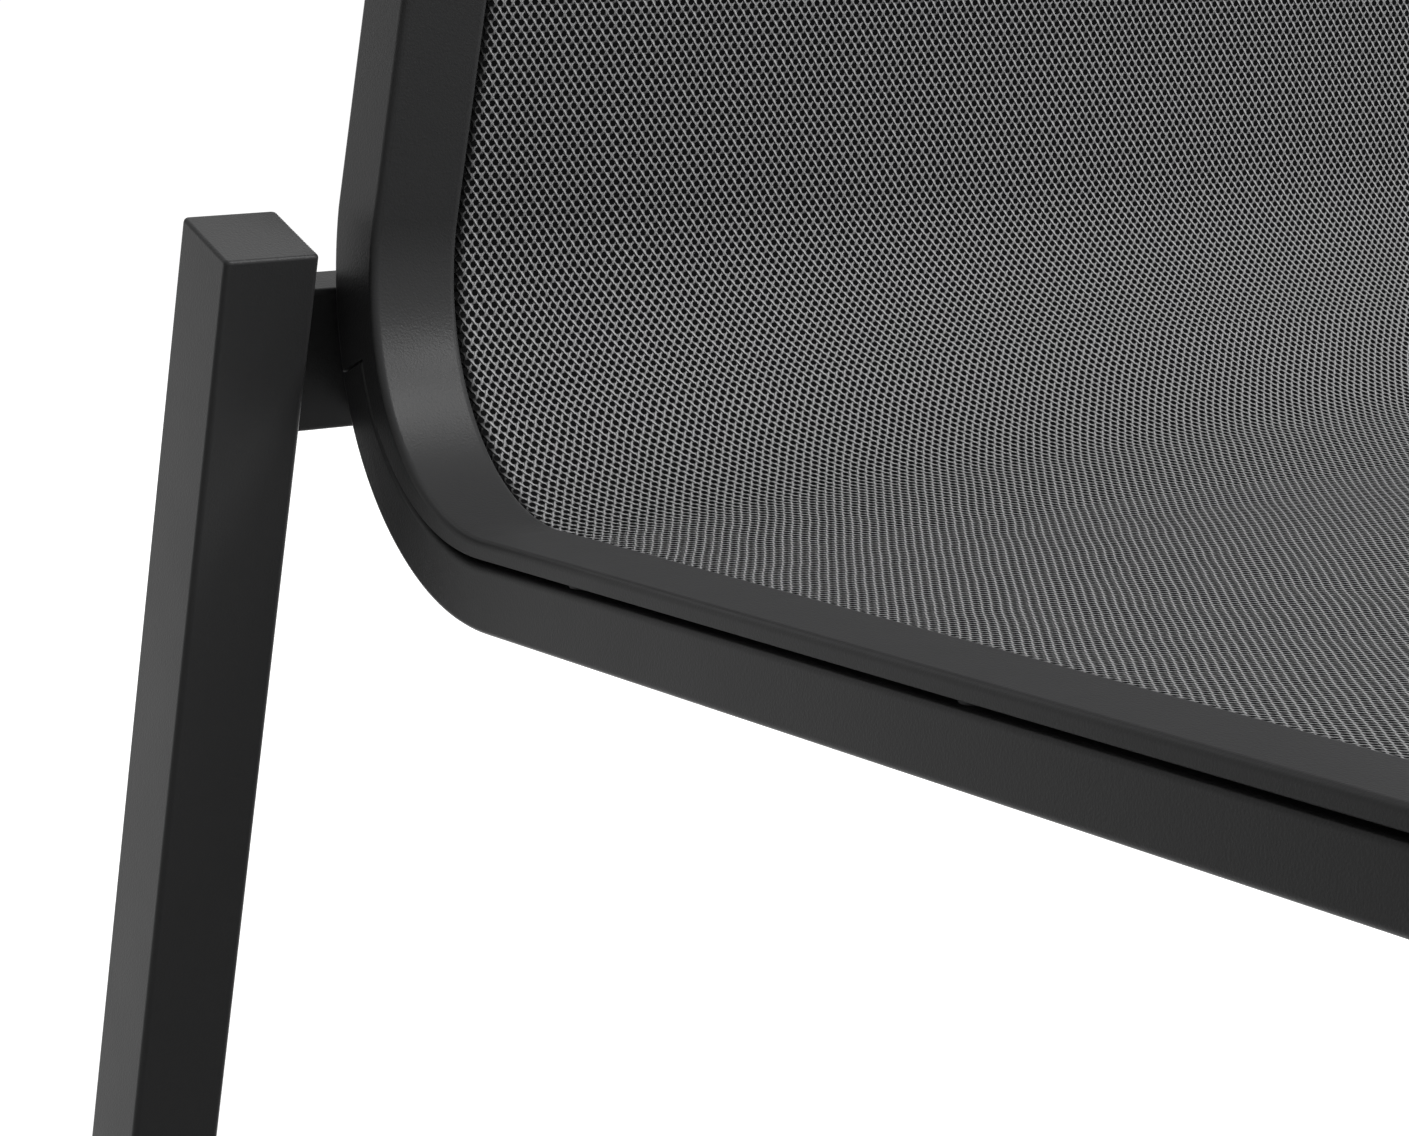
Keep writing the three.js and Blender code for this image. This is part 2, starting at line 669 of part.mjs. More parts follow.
// The head stands off by as much as the tapered rail turns away across it
function spreaderScrew(along) {
  const head = { radius: SCREW_HEAD_RADIUS, height: SCREW_HEAD_HEIGHT };
  const turnedAway = railStation(along).inward - railStation(along - SCREW_HEAD_RADIUS).inward;
  return roundHeaded(head, SCREW_RADIUS, screwLength, FIT_GAP + turnedAway, screwSeat(along), inwards);
}

function spreaderScrewHoles() {
  return spreaders.map(({ along }) => {
    const start = screwSeat(along).addScaledVector(inwards, -OVERRUN);
    return pin(SCREW_HOLE_RADIUS, RAIL_WIDTH + 2 * OVERRUN, start, inwards);
  });
}

// End caps: a plate over the end, rounded towards its core, and a plug inside the hollow
function endCap(end, outwards, outline, core, plug) {
  const near = end + outwards * FIT_GAP;
  const far = near + outwards * CAP_PLATE;
  const places = outwards > 0 ? [near, far - CAP_ROUND, far] : [far, far + CAP_ROUND, near];
  const plate = loft(places, outline, [], (place, point) => {
    const share = place === far ? 1 - CAP_ROUND / core.reach : 1;
    const across = core.x + (point.x - core.x) * share;
    const deep = core.y + (point.y - core.y) * share;
    return railPoint(railStation(place), across, deep);
  });
  const plugEnds = [end - outwards * CAP_PLUG, near + outwards * CAP_PLATE / 2];
  const plugStations = plugEnds.sort((a, b) => a - b).map(railStation);
  return joined(plate, alongRail(plugStations, plug));
}

function railTopCap() {
  const outline = roundedBox(0, 0, RAIL_WIDTH, RAIL_DEPTH, RAIL_EDGE_RADIUS);
  const margin = RAIL_WALL + FIT_GAP;
  const core = { x: RAIL_WIDTH / 2, y: RAIL_DEPTH / 2, reach: RAIL_DEPTH / 2 };
  const plug = plainBox(margin, margin, notchWidth - margin, RAIL_DEPTH - margin);
  return endCap(railTop, 1, outline, core, plug);
}

function railFrontCap() {
  const outline = ringOf([
    [0, 0],
    [RAIL_WIDTH, 0],
    [RAIL_WIDTH, RAIL_DEPTH],
    [notchWidth, RAIL_DEPTH],
    [notchWidth, LIP],
    [0, LIP],
  ]);
  const core = { x: (notchWidth + RAIL_WIDTH) / 2, y: LIP / 2, reach: RAIL_DEPTH };
  const plug = plainBox(notchWidth + RAIL_WALL + FIT_GAP, webCell.low + FIT_GAP,
    RAIL_WIDTH - RAIL_WALL - FIT_GAP, webCell.high - FIT_GAP);
  return endCap(railFront, -1, outline, core, plug);
}

function sideTubeCap() {
  const outline = roundedBox(0, tubeFace, SIDE_TUBE_WIDTH, RAIL_DEPTH, RAIL_EDGE_RADIUS);
  const margin = SIDE_TUBE_WALL + FIT_GAP;
  const core = { x: SIDE_TUBE_WIDTH / 2, y: (tubeFace + RAIL_DEPTH) / 2, reach: SIDE_TUBE_WIDTH / 2 };
  const plug = plainBox(margin, tubeFace + margin, SIDE_TUBE_WIDTH - margin, RAIL_DEPTH - margin);
  return endCap(railFront, -1, outline, core, plug);
}

// How far the middle of the sling stands below the line between the rails
function hump(along, centre, run) {
  const from = (along - centre) / (run / 2);
  return Math.abs(from) < 1 ? Math.cos(from * Math.PI / 2) ** 2 : 0;
}

function slingSag(along) {
  return SEAT_SAG * hump(along, railFront / 2, SEAT_SAG_RUN)
    - BEND_LIFT * hump(along, bendLength / 2, BEND_LIFT_RUN)
    + LUMBAR_SAG * hump(along, lumbarStart + lumbarLength / 2, LUMBAR_SAG_RUN);
}

// Sling: one sheet from rail to rail, each long edge sewn into a sleeve round its rod
function sling() {
  const mouth = halfFrame - RAIL_WIDTH;
  const centre = mouth + CHANNEL_INSET;
  const top = SLOT_DEPTH_FROM_FACE - SLING_THICKNESS / 2;
  const under = SLOT_DEPTH_FROM_FACE + SLING_THICKNESS / 2;
  const opening = Math.asin(SLING_THICKNESS / 2 / SLEEVE_RADIUS);
  const sheet = (deep, from, to) => spread(from, to, SLING_COLUMNS).map((x) => new THREE.Vector2(x, deep));
  const sleeve = (x, from, to) => arcPoints(x, SLOT_DEPTH_FROM_FACE, SLEEVE_RADIUS, from, to, ROD_SIDES);
  const outline = [
    ...sheet(top, -mouth, mouth),
    ...sleeve(centre, opening - Math.PI, Math.PI - opening),
    ...sheet(under, mouth, -mouth),
    ...sleeve(-centre, opening, 2 * Math.PI - opening),
  ];
  const boreAt = (x) => clockwise(circle(x, SLOT_DEPTH_FROM_FACE, SLEEVE_BORE, ROD_SIDES));
  const seatPlaces = spread(railFront, 0, SEAT_STEPS).slice(1, -1);
  const stations = stationsBetween(railFront + SLING_END_MARGIN, railTop - SLING_END_MARGIN, seatPlaces);
  return loft(stations, outline, [boreAt(-centre), boreAt(centre)], (station, point) => {
    const share = THREE.MathUtils.clamp(point.x / mouth, -1, 1);
    const beyond = point.x - share * mouth;
    const deep = point.y + slingSag(station.along) * (1 - share * share);
    const place = railPoint(station, 0, deep);
    place.x = share * (mouth - station.inward) + beyond;
    return place;
  });
}

function kederRod() {
  return alongRail(stationsBetween(railFront + SLING_END_MARGIN, railTop - SLING_END_MARGIN),
    circle(RAIL_WIDTH - CHANNEL_INSET, SLOT_DEPTH_FROM_FACE, KEDER_RADIUS, ROD_SIDES));
}

// Assembly
const chair = new THREE.Group();

function addPiece(name, geometry, material) {
  const mesh = new THREE.Mesh(toCreasedNormals(geometry.clone(), rad(CREASE_DEG)), material);
  mesh.name = name;
  chair.add(mesh);
}

function addPair(name, geometry, material) {
  addPiece(`${name}_right`, geometry, material());
  addPiece(`${name}_left`, mirrored(geometry), material());
}

addPair('sling_rail', slingRail(), powderCoat);
addPair('seat_side_tube', seatSideTube(), powderCoat);
addPair('rear_leg', legTube(rearLeg), powderCoat);
addPair('front_leg', legTube(frontLeg), powderCoat);
addPair('rear_foot_glide', footGlide(rearLeg), blackPlastic);
addPair('front_foot_glide', footGlide(frontLeg), blackPlastic);
const barHoles = [...rearBoltHoles(), ...rearBoltHoles().map(mirrored)];
addPiece('rear_crossbar', cutFrom(crossbar(rearLeg), barHoles), powderCoat());
addPiece('front_crossbar', crossbar(frontLeg), powderCoat());
addPair('rear_saddle', rearSaddle(), powderCoat);
spreaders.forEach((bar) => addPiece(bar.name, spreaderBar(bar), powderCoat()));
addPair('rail_top_cap', railTopCap(), blackPlastic);
addPair('rail_front_cap', railFrontCap(), blackPlastic);
addPair('side_tube_cap', sideTubeCap(), blackPlastic);
addPiece('sling', sling(), meshFabric());
addPair('keder_rod', kederRod(), blackPlastic);
seatBoltPlaces.forEach((along, i) => {
  addPair(`seat_bolt_${i + 1}`, seatBolt(along), darkSteel);
  addPair(`seat_washer_${i + 1}`, seatWasher(along), blackPlastic);
});
REAR_BOLT_SHARES.forEach((share, i) => addPair(`rear_bolt_${i + 1}`, rearBolt(share), darkSteel));
spreaders.forEach(({ name, along }) => addPair(`${name}_screw`, spreaderScrew(along), darkSteel));

export default chair;
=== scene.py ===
import math
from contextlib import contextmanager
from functools import lru_cache, partial

import bmesh
import bpy
from bpy.props import FloatProperty, FloatVectorProperty, PointerProperty
from mathutils import Matrix, Vector


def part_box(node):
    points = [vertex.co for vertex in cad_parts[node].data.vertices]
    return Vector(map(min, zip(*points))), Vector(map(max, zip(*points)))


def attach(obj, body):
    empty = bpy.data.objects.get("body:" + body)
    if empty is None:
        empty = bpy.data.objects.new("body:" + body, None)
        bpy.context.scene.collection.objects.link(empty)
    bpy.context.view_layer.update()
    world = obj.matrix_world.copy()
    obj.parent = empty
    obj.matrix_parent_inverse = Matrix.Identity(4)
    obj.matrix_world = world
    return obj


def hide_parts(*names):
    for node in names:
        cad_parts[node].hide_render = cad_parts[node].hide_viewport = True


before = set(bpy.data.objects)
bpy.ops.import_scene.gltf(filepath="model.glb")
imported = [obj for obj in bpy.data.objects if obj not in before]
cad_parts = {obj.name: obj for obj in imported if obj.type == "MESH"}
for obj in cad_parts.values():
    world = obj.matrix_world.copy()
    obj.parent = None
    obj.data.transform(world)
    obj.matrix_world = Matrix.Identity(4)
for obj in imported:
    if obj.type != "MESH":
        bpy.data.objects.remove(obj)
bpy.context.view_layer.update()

bl_info = {
    "name": "Sling patio chair",
    "version": (1, 0, 0),
    "blender": (4, 5, 0),
    "location": "3D View > Sidebar > Chair",
    "description": "Models a patio chair with a mesh sling in a powder-coated frame",
    "category": "Add Mesh",
}

MM = 0.001
SIDES = ("right", "left")
OVERRUN = 6 * MM
FIT_GAP = 0.3 * MM
HAIR = 0.001 * MM
RAIL_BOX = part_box("sling_rail_right")


def length(name, description, millimetres):
    return FloatProperty(name=name, description=description, default=millimetres * MM,
                         subtype="DISTANCE", unit="LENGTH", precision=4)


def angle(name, description, degrees):
    return FloatProperty(name=name, description=description, default=math.radians(degrees),
                         subtype="ANGLE", unit="ROTATION")


def colour(name, description, *rgb):
    return FloatVectorProperty(name=name, description=description, default=(*rgb, 1),
                               subtype="COLOR", size=4, min=0, max=1)


def share(name, description, value):
    return FloatProperty(name=name, description=description, default=value, min=0, max=1, subtype="FACTOR")


def strength(name, description, watts):
    return FloatProperty(name=name, description=description, default=watts, min=0, unit="POWER")


class RailSizes(bpy.types.PropertyGroup):
    """Line and section of the bent sling rails"""
    frame_width: length("Frame width", "From the outer face of one rail to the other at the seat", 500)
    bend_height: length("Bend centre height", "Height of the centre of the bend", 460)
    seat_slope: angle("Seat slope", "How far the seat falls towards the back", 4.2)
    seat_straight: length("Seat straight", "Straight stretch from the bend to the front", 418)
    bend_radius: length("Bend radius", "Radius of the rail's wide face in the bend", 59.5)
    back_lean: angle("Back lean", "Forward lean of the lower back", 5)
    lower_back: length("Lower back", "Straight stretch above the bend", 75)
    lumbar_radius: length("Lumbar radius", "Radius of the curve that reclines the back", 450)
    recline: angle("Recline", "Lean of the upper back", 16)
    upper_back: length("Upper back", "Straight stretch at the top", 172)
    taper: angle("Back taper", "How far each rail leans in towards the top", 6.2)
    taper_run: length("Taper run", "Stretch of the bend in which the taper begins", 90)
    width: length("Width", "Width of the face towards the sitter", 23)
    depth: length("Depth", "Depth of the full section", 22.6)
    edge_radius: length("Edge radius", "Rounding of the long edges", 2)
    lip: length("Lip", "Thickness of the lip along the seat", 4.6)
    lip_at_seam: length("Lip at the seam", "Thickness of the lip where it meets the full section", 8.9)
    shadow_gap: length("Shadow gap", "Gap between the lip and the side tube along the seat", 1.4)
    gap_closes_over: length("Gap closes over", "Stretch of the bend in which the gap closes", 38)
    seam_drop: angle("Seam drop", "Angle of the seam below the bend's centre", 24)
    seam_gap: length("Seam gap", "Gap at the end of the side tube", 0.4)
    channel_radius: length("Channel radius", "Radius of the channel for the sling's rod", 2.9)
    channel_inset: length("Channel inset", "Channel centre from the inner face", 4.6)
    slot_depth: length("Slot depth", "Middle of the sling's slot below the wide face", 4.3)
    slot_width: length("Slot width", "Opening of the slot", 1.6)
    tube_width: length("Side tube width", "Width of the tube under the lip", 14)


class LegSizes(bpy.types.PropertyGroup):
    """Legs, crossbars, saddles and glides"""
    width: length("Leg width", "Across the chair", 25)
    depth: length("Leg depth", "Front to back at the cut top", 27.6)
    corner_radius: length("Corner radius", "Rounding of the long edges", 1.6)
    top_round: length("Top round", "Rounding of the top edges", 1)
    to_rail: length("Leg to rail", "Gap between a leg and the rail beside it", 7.3)
    splay: angle("Splay", "How far the feet stand out", 1.6)
    behind_bend: length("Behind the bend", "Rear leg's front corner behind the bend's centre", 64.4)
    rear_top_drop: length("Rear top drop", "Rear leg's top below the bend's centre", 1.9)
    rear_rake: angle("Rear rake", "Backward slant of the rear legs", 13.25)
    rear_cut: angle("Rear top cut", "Rise of the rear leg's top towards the back", 16.2)
    front_set_back: length("Front leg set back", "Front leg's middle behind the rails' front end", 24)
    bar_depth: length("Crossbar depth", "Front to back", 13)
    bar_height: length("Crossbar height", "Top to bottom", 38.6)
    bar_radius: length("Crossbar edge", "Rounding of the long edges", 1.5)
    bar_below_top: length("Crossbar drop", "Crossbar's top below the leg's top", 15.2)
    rear_bar_set_back: length("Rear crossbar set back", "Behind the rear leg's front face", 13.8)
    glide_lip: length("Glide lip", "Thickness of the pad", 3)
    glide_chamfer: length("Glide chamfer", "Rounding of the pad's lower edge", 0.8)
    glide_plug: length("Glide plug", "Length of the plug inside the leg", 14)
    wall: length("Leg wall", "Wall of the leg", 1.8)


class SlingSizes(bpy.types.PropertyGroup):
    """The sling, its edge rods and the bars that hold the rails apart"""
    thickness: length("Thickness", "Thickness of the mesh", 0.9)
    sleeve_radius: length("Sleeve radius", "Middle of the cloth in the sleeve round the rod", 2.25)
    rod_radius: length("Rod radius", "Radius of the rod in the sleeve", 1.7)
    end_margin: length("End margin", "From the sling's end to the rail's end", 1)
    seat_sag: length("Seat sag", "How far the middle of the seat hangs", 5)
    bend_lift: length("Bend lift", "How far the middle cuts the corner of the bend", 15)
    lumbar_sag: length("Lumbar sag", "How far the middle of the back gives", 5)
    seat_sag_run: length("Seat sag run", "Length of the sag in the seat", 330)
    bend_lift_run: length("Bend lift run", "Length of the lift in the bend", 210)
    lumbar_sag_run: length("Lumbar sag run", "Length of the sag in the back", 260)
    hem: length("Hem", "Width of the folded hems at the front and top", 22)
    hem_fold: length("Hem fold", "Radius of the fold of the hems", 0.75)
    hole_pitch: length("Hole pitch", "From hole to hole across the mesh", 2.4)
    row_pitch: length("Row pitch", "From row to row along the seat", 1.93)
    closer_rows: share("Closer rows", "How much closer the rows lie on the back", 0.177)
    # Painted shade: the sling darkens to black over this width beside each rail, standing in for the shadow
    # of the rail's edge
    painted_rail_shade: length("Selvage", "Width of the dark edge beside each rail", 5)
    bar_width: length("Spreader width", "Width of the spreader bars", 20)
    bar_thickness: length("Spreader thickness", "Thickness of the spreader bars", 11)
    bar_face_depth: length("Spreader depth", "Spreader's face below the rail's wide face", 9.8)
    bar_corner: length("Spreader corner", "Rounding of the spreader bars", 2)
    front_bar_in: length("Front spreader", "From the front end of the rails", 16)
    top_bar_in: length("Top spreader", "From the top end of the rails", 22)
    mid_bar_rise: length("Middle spreader", "Above the bend", 200)
    mid_bar_bow: length("Middle spreader bow", "How far its middle bows back", 26)
    bar_straight_end: length("Spreader end", "Straight end of the bowed spreader", 20)


class ChairColours(bpy.types.PropertyGroup):
    """Colours of the finishes"""
    powder: colour("Powder coat", "Charcoal powder coat of the frame", 0.036, 0.0362, 0.0367)
    strand: colour("Strand", "Coated strands of the mesh", 0.39, 0.39, 0.394)
    hole: colour("Hole", "Holes of the mesh", 0.003, 0.003, 0.0032)
    # Painted shade: the open holes of the mesh are drawn as near-black cloth, standing in for the shade seen
    # through them
    plastic: colour("Plastic", "Caps, glides, washers and rods", 0.008, 0.008, 0.0085)
    steel: colour("Steel", "Blackened bolts and screws", 0.09, 0.09, 0.095)
    floor: colour("Floor", "Pale studio floor", 0.4, 0.4, 0.4)


class StageSizes(bpy.types.PropertyGroup):
    """Camera and lights"""
    lens: FloatProperty(name="Lens", description="Focal length in millimetres", default=96.42, min=10)
    heading: angle("Heading", "Camera's heading from straight back", 30.53)
    pitch: angle("Pitch", "How far the camera looks down", 13.57)
    roll: angle("Roll", "Camera's roll", -0.64)
    key_strength: strength("Key", "Strength of the key light", 24)
    right_strength: strength("Right", "Strength of the light on the right", 9)
    side_strength: strength("Side", "Strength of the side light", 1)
    rear_strength: strength("Rear", "Strength of the light behind", 45)
    top_strength: strength("Top", "Strength of the light above", 38)
    ambient: share("Ambient", "Soft light from all round", 0.07)


rail = leg = cloth = paint = None


class Values:
    """The values of one group of settings, read once"""

    def __init__(self, settings):
        for key in settings.__annotations__:
            setattr(self, key, getattr(settings, key))


def load_sizes():
    """Reads the panel's values into the names that the makers use"""
    global rail, leg, cloth, paint
    scene = bpy.context.scene
    rail, leg = Values(scene.chair_rail), Values(scene.chair_leg)
    cloth, paint = Values(scene.chair_sling), Values(scene.chair_colours)
    place_on_rail.cache_clear()


# Line of the rails

BEND_STEPS = 48
LUMBAR_STEPS = 24
SAME_PLACE_DIGITS = 6


class Place:
    """Face point, direction into the rail and inward offset at one place along a rail"""

    def __init__(self, along):
        lean, recline, slope = rail.back_lean, rail.recline, rail.seat_slope
        inside = min(max(along, 0), bend_length())
        turned = inside / bend_length()
        turn = bend_start() + inside / rail.bend_radius
        y = bend_centre_y() + rail.bend_radius * math.cos(turn)
        z = rail.bend_height + rail.bend_radius * math.sin(turn)
        if along < 0:
            y += along * math.cos(slope)
            z -= along * math.sin(slope)
        if along > bend_length():
            rise = min(along, lumbar_start()) - bend_length()
            y -= rise * math.sin(lean)
            z += rise * math.cos(lean)
        if along > lumbar_start():
            swept = min(along, upper_start()) - lumbar_start()
            turn = lean - swept / rail.lumbar_radius
            y += rail.lumbar_radius * (math.cos(lean) - math.cos(turn))
            z += rail.lumbar_radius * (math.sin(lean) - math.sin(turn))
        if along > upper_start():
            y += (along - upper_start()) * math.sin(recline)
            z += (along - upper_start()) * math.cos(recline)
        self.y, self.z = y, z
        self.into = Vector((0, math.cos(turn), math.sin(turn)))
        in_bend = rail.taper_run * turned * turned / 2
        self.inward = math.tan(rail.taper) * (in_bend + max(0, along - bend_length()))


@lru_cache(maxsize=None)
def place_on_rail(along):
    return Place(along)


def bend_start():
    return -math.pi / 2 - rail.seat_slope


def bend_length():
    return rail.bend_radius * (rail.back_lean - bend_start())


def seam_at():
    return rail.bend_radius * (-rail.seam_drop - bend_start())


def lumbar_start():
    return bend_length() + rail.lower_back


def upper_start():
    return lumbar_start() + rail.lumbar_radius * (rail.back_lean + rail.recline)


def rail_front():
    return -rail.seat_straight


def rail_top():
    return upper_start() + rail.upper_back


def bend_centre_y():
    """The bend's centre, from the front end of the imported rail"""
    low = RAIL_BOX[0]
    outer = rail.bend_radius + rail.depth
    return low.y + outer * math.sin(rail.seat_slope) + rail.seat_straight * math.cos(rail.seat_slope)


def on_rail(across, deep, along):
    """A point of the right-hand rail, across from its outer face and deep from its wide face"""
    place = place_on_rail(along)
    point = Vector((-rail.frame_width / 2 + place.inward + across, place.y, place.z))
    return point + place.into * deep


def smoothstep(value, low, high):
    t = min(max((value - low) / (high - low), 0), 1)
    return t * t * (3 - 2 * t)


def lip_at(along):
    return rail.lip + (rail.lip_at_seam - rail.lip) * smoothstep(along, 0, seam_at())


def tube_face_at(along):
    closed = smoothstep(along, 0, rail.gap_closes_over)
    return lip_at(along) + rail.shadow_gap + (FIT_GAP - rail.shadow_gap) * closed


def spread(low, high, steps):
    return [low + (high - low) * i / steps for i in range(steps + 1)]


def rail_places(low, high):
    """Places where a piece that follows the rail is divided, closer in the curves"""
    places = [0, seam_at()]
    places += spread(0, bend_length(), BEND_STEPS)
    places += spread(lumbar_start(), upper_start(), LUMBAR_STEPS)
    return sorted({round(p, SAME_PLACE_DIGITS) for p in places if low < p < high})


# Modelling steps

NEAR = 0.01 * MM
MERGE_WITHIN = 0.002 * MM
SHARP_ANGLE = math.radians(32)


def pick(piece):
    """Selects one object alone and makes it active"""
    bpy.ops.object.select_all(action="DESELECT")
    piece.select_set(True)
    bpy.context.view_layer.objects.active = piece


def settle(piece):
    """Puts a piece's place into its mesh"""
    pick(piece)
    bpy.ops.object.transform_apply(location=True, rotation=True, scale=True)
    return piece


def add(name, primitive, scale=(1, 1, 1), **settings):
    """Adds a primitive with nothing else selected, and puts its place into its mesh"""
    bpy.ops.object.select_all(action="DESELECT")
    primitive(**settings)
    piece = bpy.context.object
    piece.name = name
    piece.scale = scale
    return settle(piece)


def add_box(name, low, high):
    low, high = Vector(low), Vector(high)
    return add(name, bpy.ops.mesh.primitive_cube_add, high - low, size=1, location=(low + high) / 2)


def add_cylinder(name, centre, radius, height, sides, turn=(0, 0, 0)):
    return add(name, bpy.ops.mesh.primitive_cylinder_add, vertices=sides, radius=radius, depth=height,
               location=centre, rotation=turn)


@contextmanager
def editing(piece, kind="EDGE"):
    """Edit mode with nothing selected"""
    pick(piece)
    bpy.ops.object.mode_set(mode="EDIT")
    bpy.ops.mesh.select_mode(type=kind)
    bpy.ops.mesh.select_all(action="DESELECT")
    yield bmesh.from_edit_mesh(piece.data)
    bpy.ops.object.mode_set(mode="OBJECT")


def bevel(piece, radius, test, segments=4):
    """Rounds the edges whose two ends pass the test"""
    with editing(piece) as mesh:
        for edge in mesh.edges:
            edge.select_set(test(*[v.co for v in edge.verts]))
        bmesh.update_edit_mesh(piece.data)
        bpy.ops.mesh.bevel(offset=radius, segments=segments, profile=0.5, affect="EDGES")


def near(a, b):
    return abs(a - b) < NEAR


def runs_along(axis):
    """Test for edges that run along one axis"""
    others = [i for i in range(3) if i != axis]
    return lambda a, b: all(near(a[i], b[i]) for i in others)


def lies_at(**places):
    """Test for edges whose two ends lie at these coordinates"""
    def is_there(end):
        return all(near(getattr(end, axis), place) for axis, place in places.items())

    return lambda *ends: all(is_there(end) for end in ends)


def boolean(piece, other, operation):
    pick(piece)
    modifier = piece.modifiers.new("Shape", "BOOLEAN")
    modifier.operation = operation
    modifier.solver = "EXACT"
    modifier.object = other
    bpy.ops.object.modifier_apply(modifier=modifier.name)
    bpy.data.objects.remove(other)


def cut(piece, other):
    boolean(piece, other, "DIFFERENCE")


def unite(piece, other):
    boolean(piece, other, "UNION")


def divide(piece, places, axis=2):
    """Divides a piece with planes square to an axis"""
    normal = [0, 0, 0]
    normal[axis] = 1
    with editing(piece):
        for place in places:
            point = [0, 0, 0]
            point[axis] = place
            bpy.ops.mesh.select_all(action="SELECT")
            bpy.ops.mesh.bisect(plane_co=point, plane_no=normal)


def reshape(piece, move):
    """Moves each vertex of a piece to where a function puts it"""
    for vertex in piece.data.vertices:
        vertex.co = move(*vertex.co)
    piece.data.update()


def copy_across(piece):
    """The other side's copy, with a mesh of its own"""
    pick(piece)
    bpy.ops.object.duplicate()
    twin = bpy.context.object
    twin.scale.x = -1
    return settle(twin)


def close_up(piece):
    """Merges doubles, points the faces outwards and smooths all but the sharp edges"""
    with editing(piece, "VERT"):
        bpy.ops.mesh.select_all(action="SELECT")
        bpy.ops.mesh.remove_doubles(threshold=MERGE_WITHIN)
        bpy.ops.mesh.normals_make_consistent(inside=False)
    pick(piece)
    bpy.ops.object.shade_smooth_by_angle(angle=SHARP_ANGLE)
    weighted = piece.modifiers.new("Even shading", "WEIGHTED_NORMAL")
    weighted.keep_sharp = True
    bpy.ops.object.modifier_apply(modifier=weighted.name)


def hand_over(piece, node, slot):
    """Names a finished piece after the node that it stands for, gives it its finish and its body, and hides
    that node
    """
    piece.name = f"{node}_finished"
    piece.data.materials.clear()
    piece.data.materials.append(finish_of(slot))
    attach(piece, "root")
    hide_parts(node)


def finish(piece, node, slot):
    close_up(piece)
    hand_over(piece, node, slot)


def finish_pair(piece, node, slot):
    """Finishes the right-hand piece and its copy on the left"""
    for side, half in zip(SIDES, (piece, copy_across(piece))):
        finish(half, f"{node}_{side}", slot)


# Shader nodes

SOCKET_KINDS = {"Colour": "Color", "Strand": "Color", "Hole": "Color", "Normal": "Vector"}
WHITE = (1, 1, 1, 1)


def group_of(name, inputs, outputs):
    """An empty shader group with named sockets: the group, what it is given, and its end"""
    group = bpy.data.node_groups.new(name, "ShaderNodeTree")
    for way, sockets in (("INPUT", inputs), ("OUTPUT", outputs)):
        for socket in sockets:
            kind = SOCKET_KINDS.get(socket, "Float")
            group.interface.new_socket(name=socket, in_out=way, socket_type=f"NodeSocket{kind}")
    return group, group.nodes.new("NodeGroupInput").outputs, group.nodes.new("NodeGroupOutput")


def wire(node, links):
    """Sets a node's inputs, by name or number, to values or to outputs of other nodes"""
    for socket, source in dict(links).items():
        if isinstance(source, bpy.types.NodeSocket):
            node.id_data.links.new(source, node.inputs[socket])
        else:
            node.inputs[socket].default_value = source
    return node


def add_node(tree, kind, links=(), **settings):
    node = tree.nodes.new(kind)
    for key, value in settings.items():
        setattr(node, key, value)
    return wire(node, links)


def maths(tree, operation, *sources):
    return add_node(tree, "ShaderNodeMath", dict(enumerate(sources)), operation=operation).outputs[0]


def sums_in(tree):
    """Functions that add, subtract, multiply and divide in a tree"""
    return [partial(maths, tree, operation) for operation in ("ADD", "SUBTRACT", "MULTIPLY", "DIVIDE")]


def noise(tree, place, scale, detail):
    links = {"Vector": place, "Scale": scale, "Detail": detail}
    return add_node(tree, "ShaderNodeTexNoise", links).outputs["Fac"]


def eased(tree, value, low, high):
    """Rises smoothly from 0 to 1 as a value goes from low to high"""
    links = {"Value": value, "From Min": low, "From Max": high}
    return add_node(tree, "ShaderNodeMapRange", links, interpolation_type="SMOOTHSTEP").outputs[0]


def tinted(tree, tint, brightness):
    links = {0: tint, "Scale": brightness}
    return add_node(tree, "ShaderNodeVectorMath", links, operation="SCALE").outputs[0]


def relief(tree, height, distance):
    """Normal of a surface whose height swings over a distance"""
    links = {"Height": height, "Strength": 1.0, "Distance": distance}
    return add_node(tree, "ShaderNodeBump", links).outputs[0]


def principled(name):
    """A new material with its shader"""
    material = bpy.data.materials.new(name)
    material.use_nodes = True
    return material, material.node_tree.nodes["Principled BSDF"]


# Powder coat, moulded plastic and blackened steel

GRAIN = "Coat grain"
PEEL_DETAIL = 2.0
PATCHES_PER_METRE = 38.0
PATCH_DETAIL = 3.0
PATCHINESS = 0.1


def grain_group():
    """Fine orange peel with faint patches"""
    inputs = ("Colour", "Peel size", "Peel height", "Roughness", "Patchiness")
    group, given, end = group_of(GRAIN, inputs, ("Colour", "Roughness", "Normal"))
    plus, minus, times, over = sums_in(group)
    place = add_node(group, "ShaderNodeTexCoord").outputs["Object"]
    peel = noise(group, place, over(1.0, given["Peel size"]), PEEL_DETAIL)
    patches = noise(group, place, PATCHES_PER_METRE, PATCH_DETAIL)
    swing = times(minus(patches, 0.5), given["Patchiness"])
    wire(end, {
        "Colour": tinted(group, given["Colour"], plus(swing, 1.0)),
        "Roughness": plus(given["Roughness"], swing),
        "Normal": relief(group, peel, given["Peel height"]),
    })
    return group


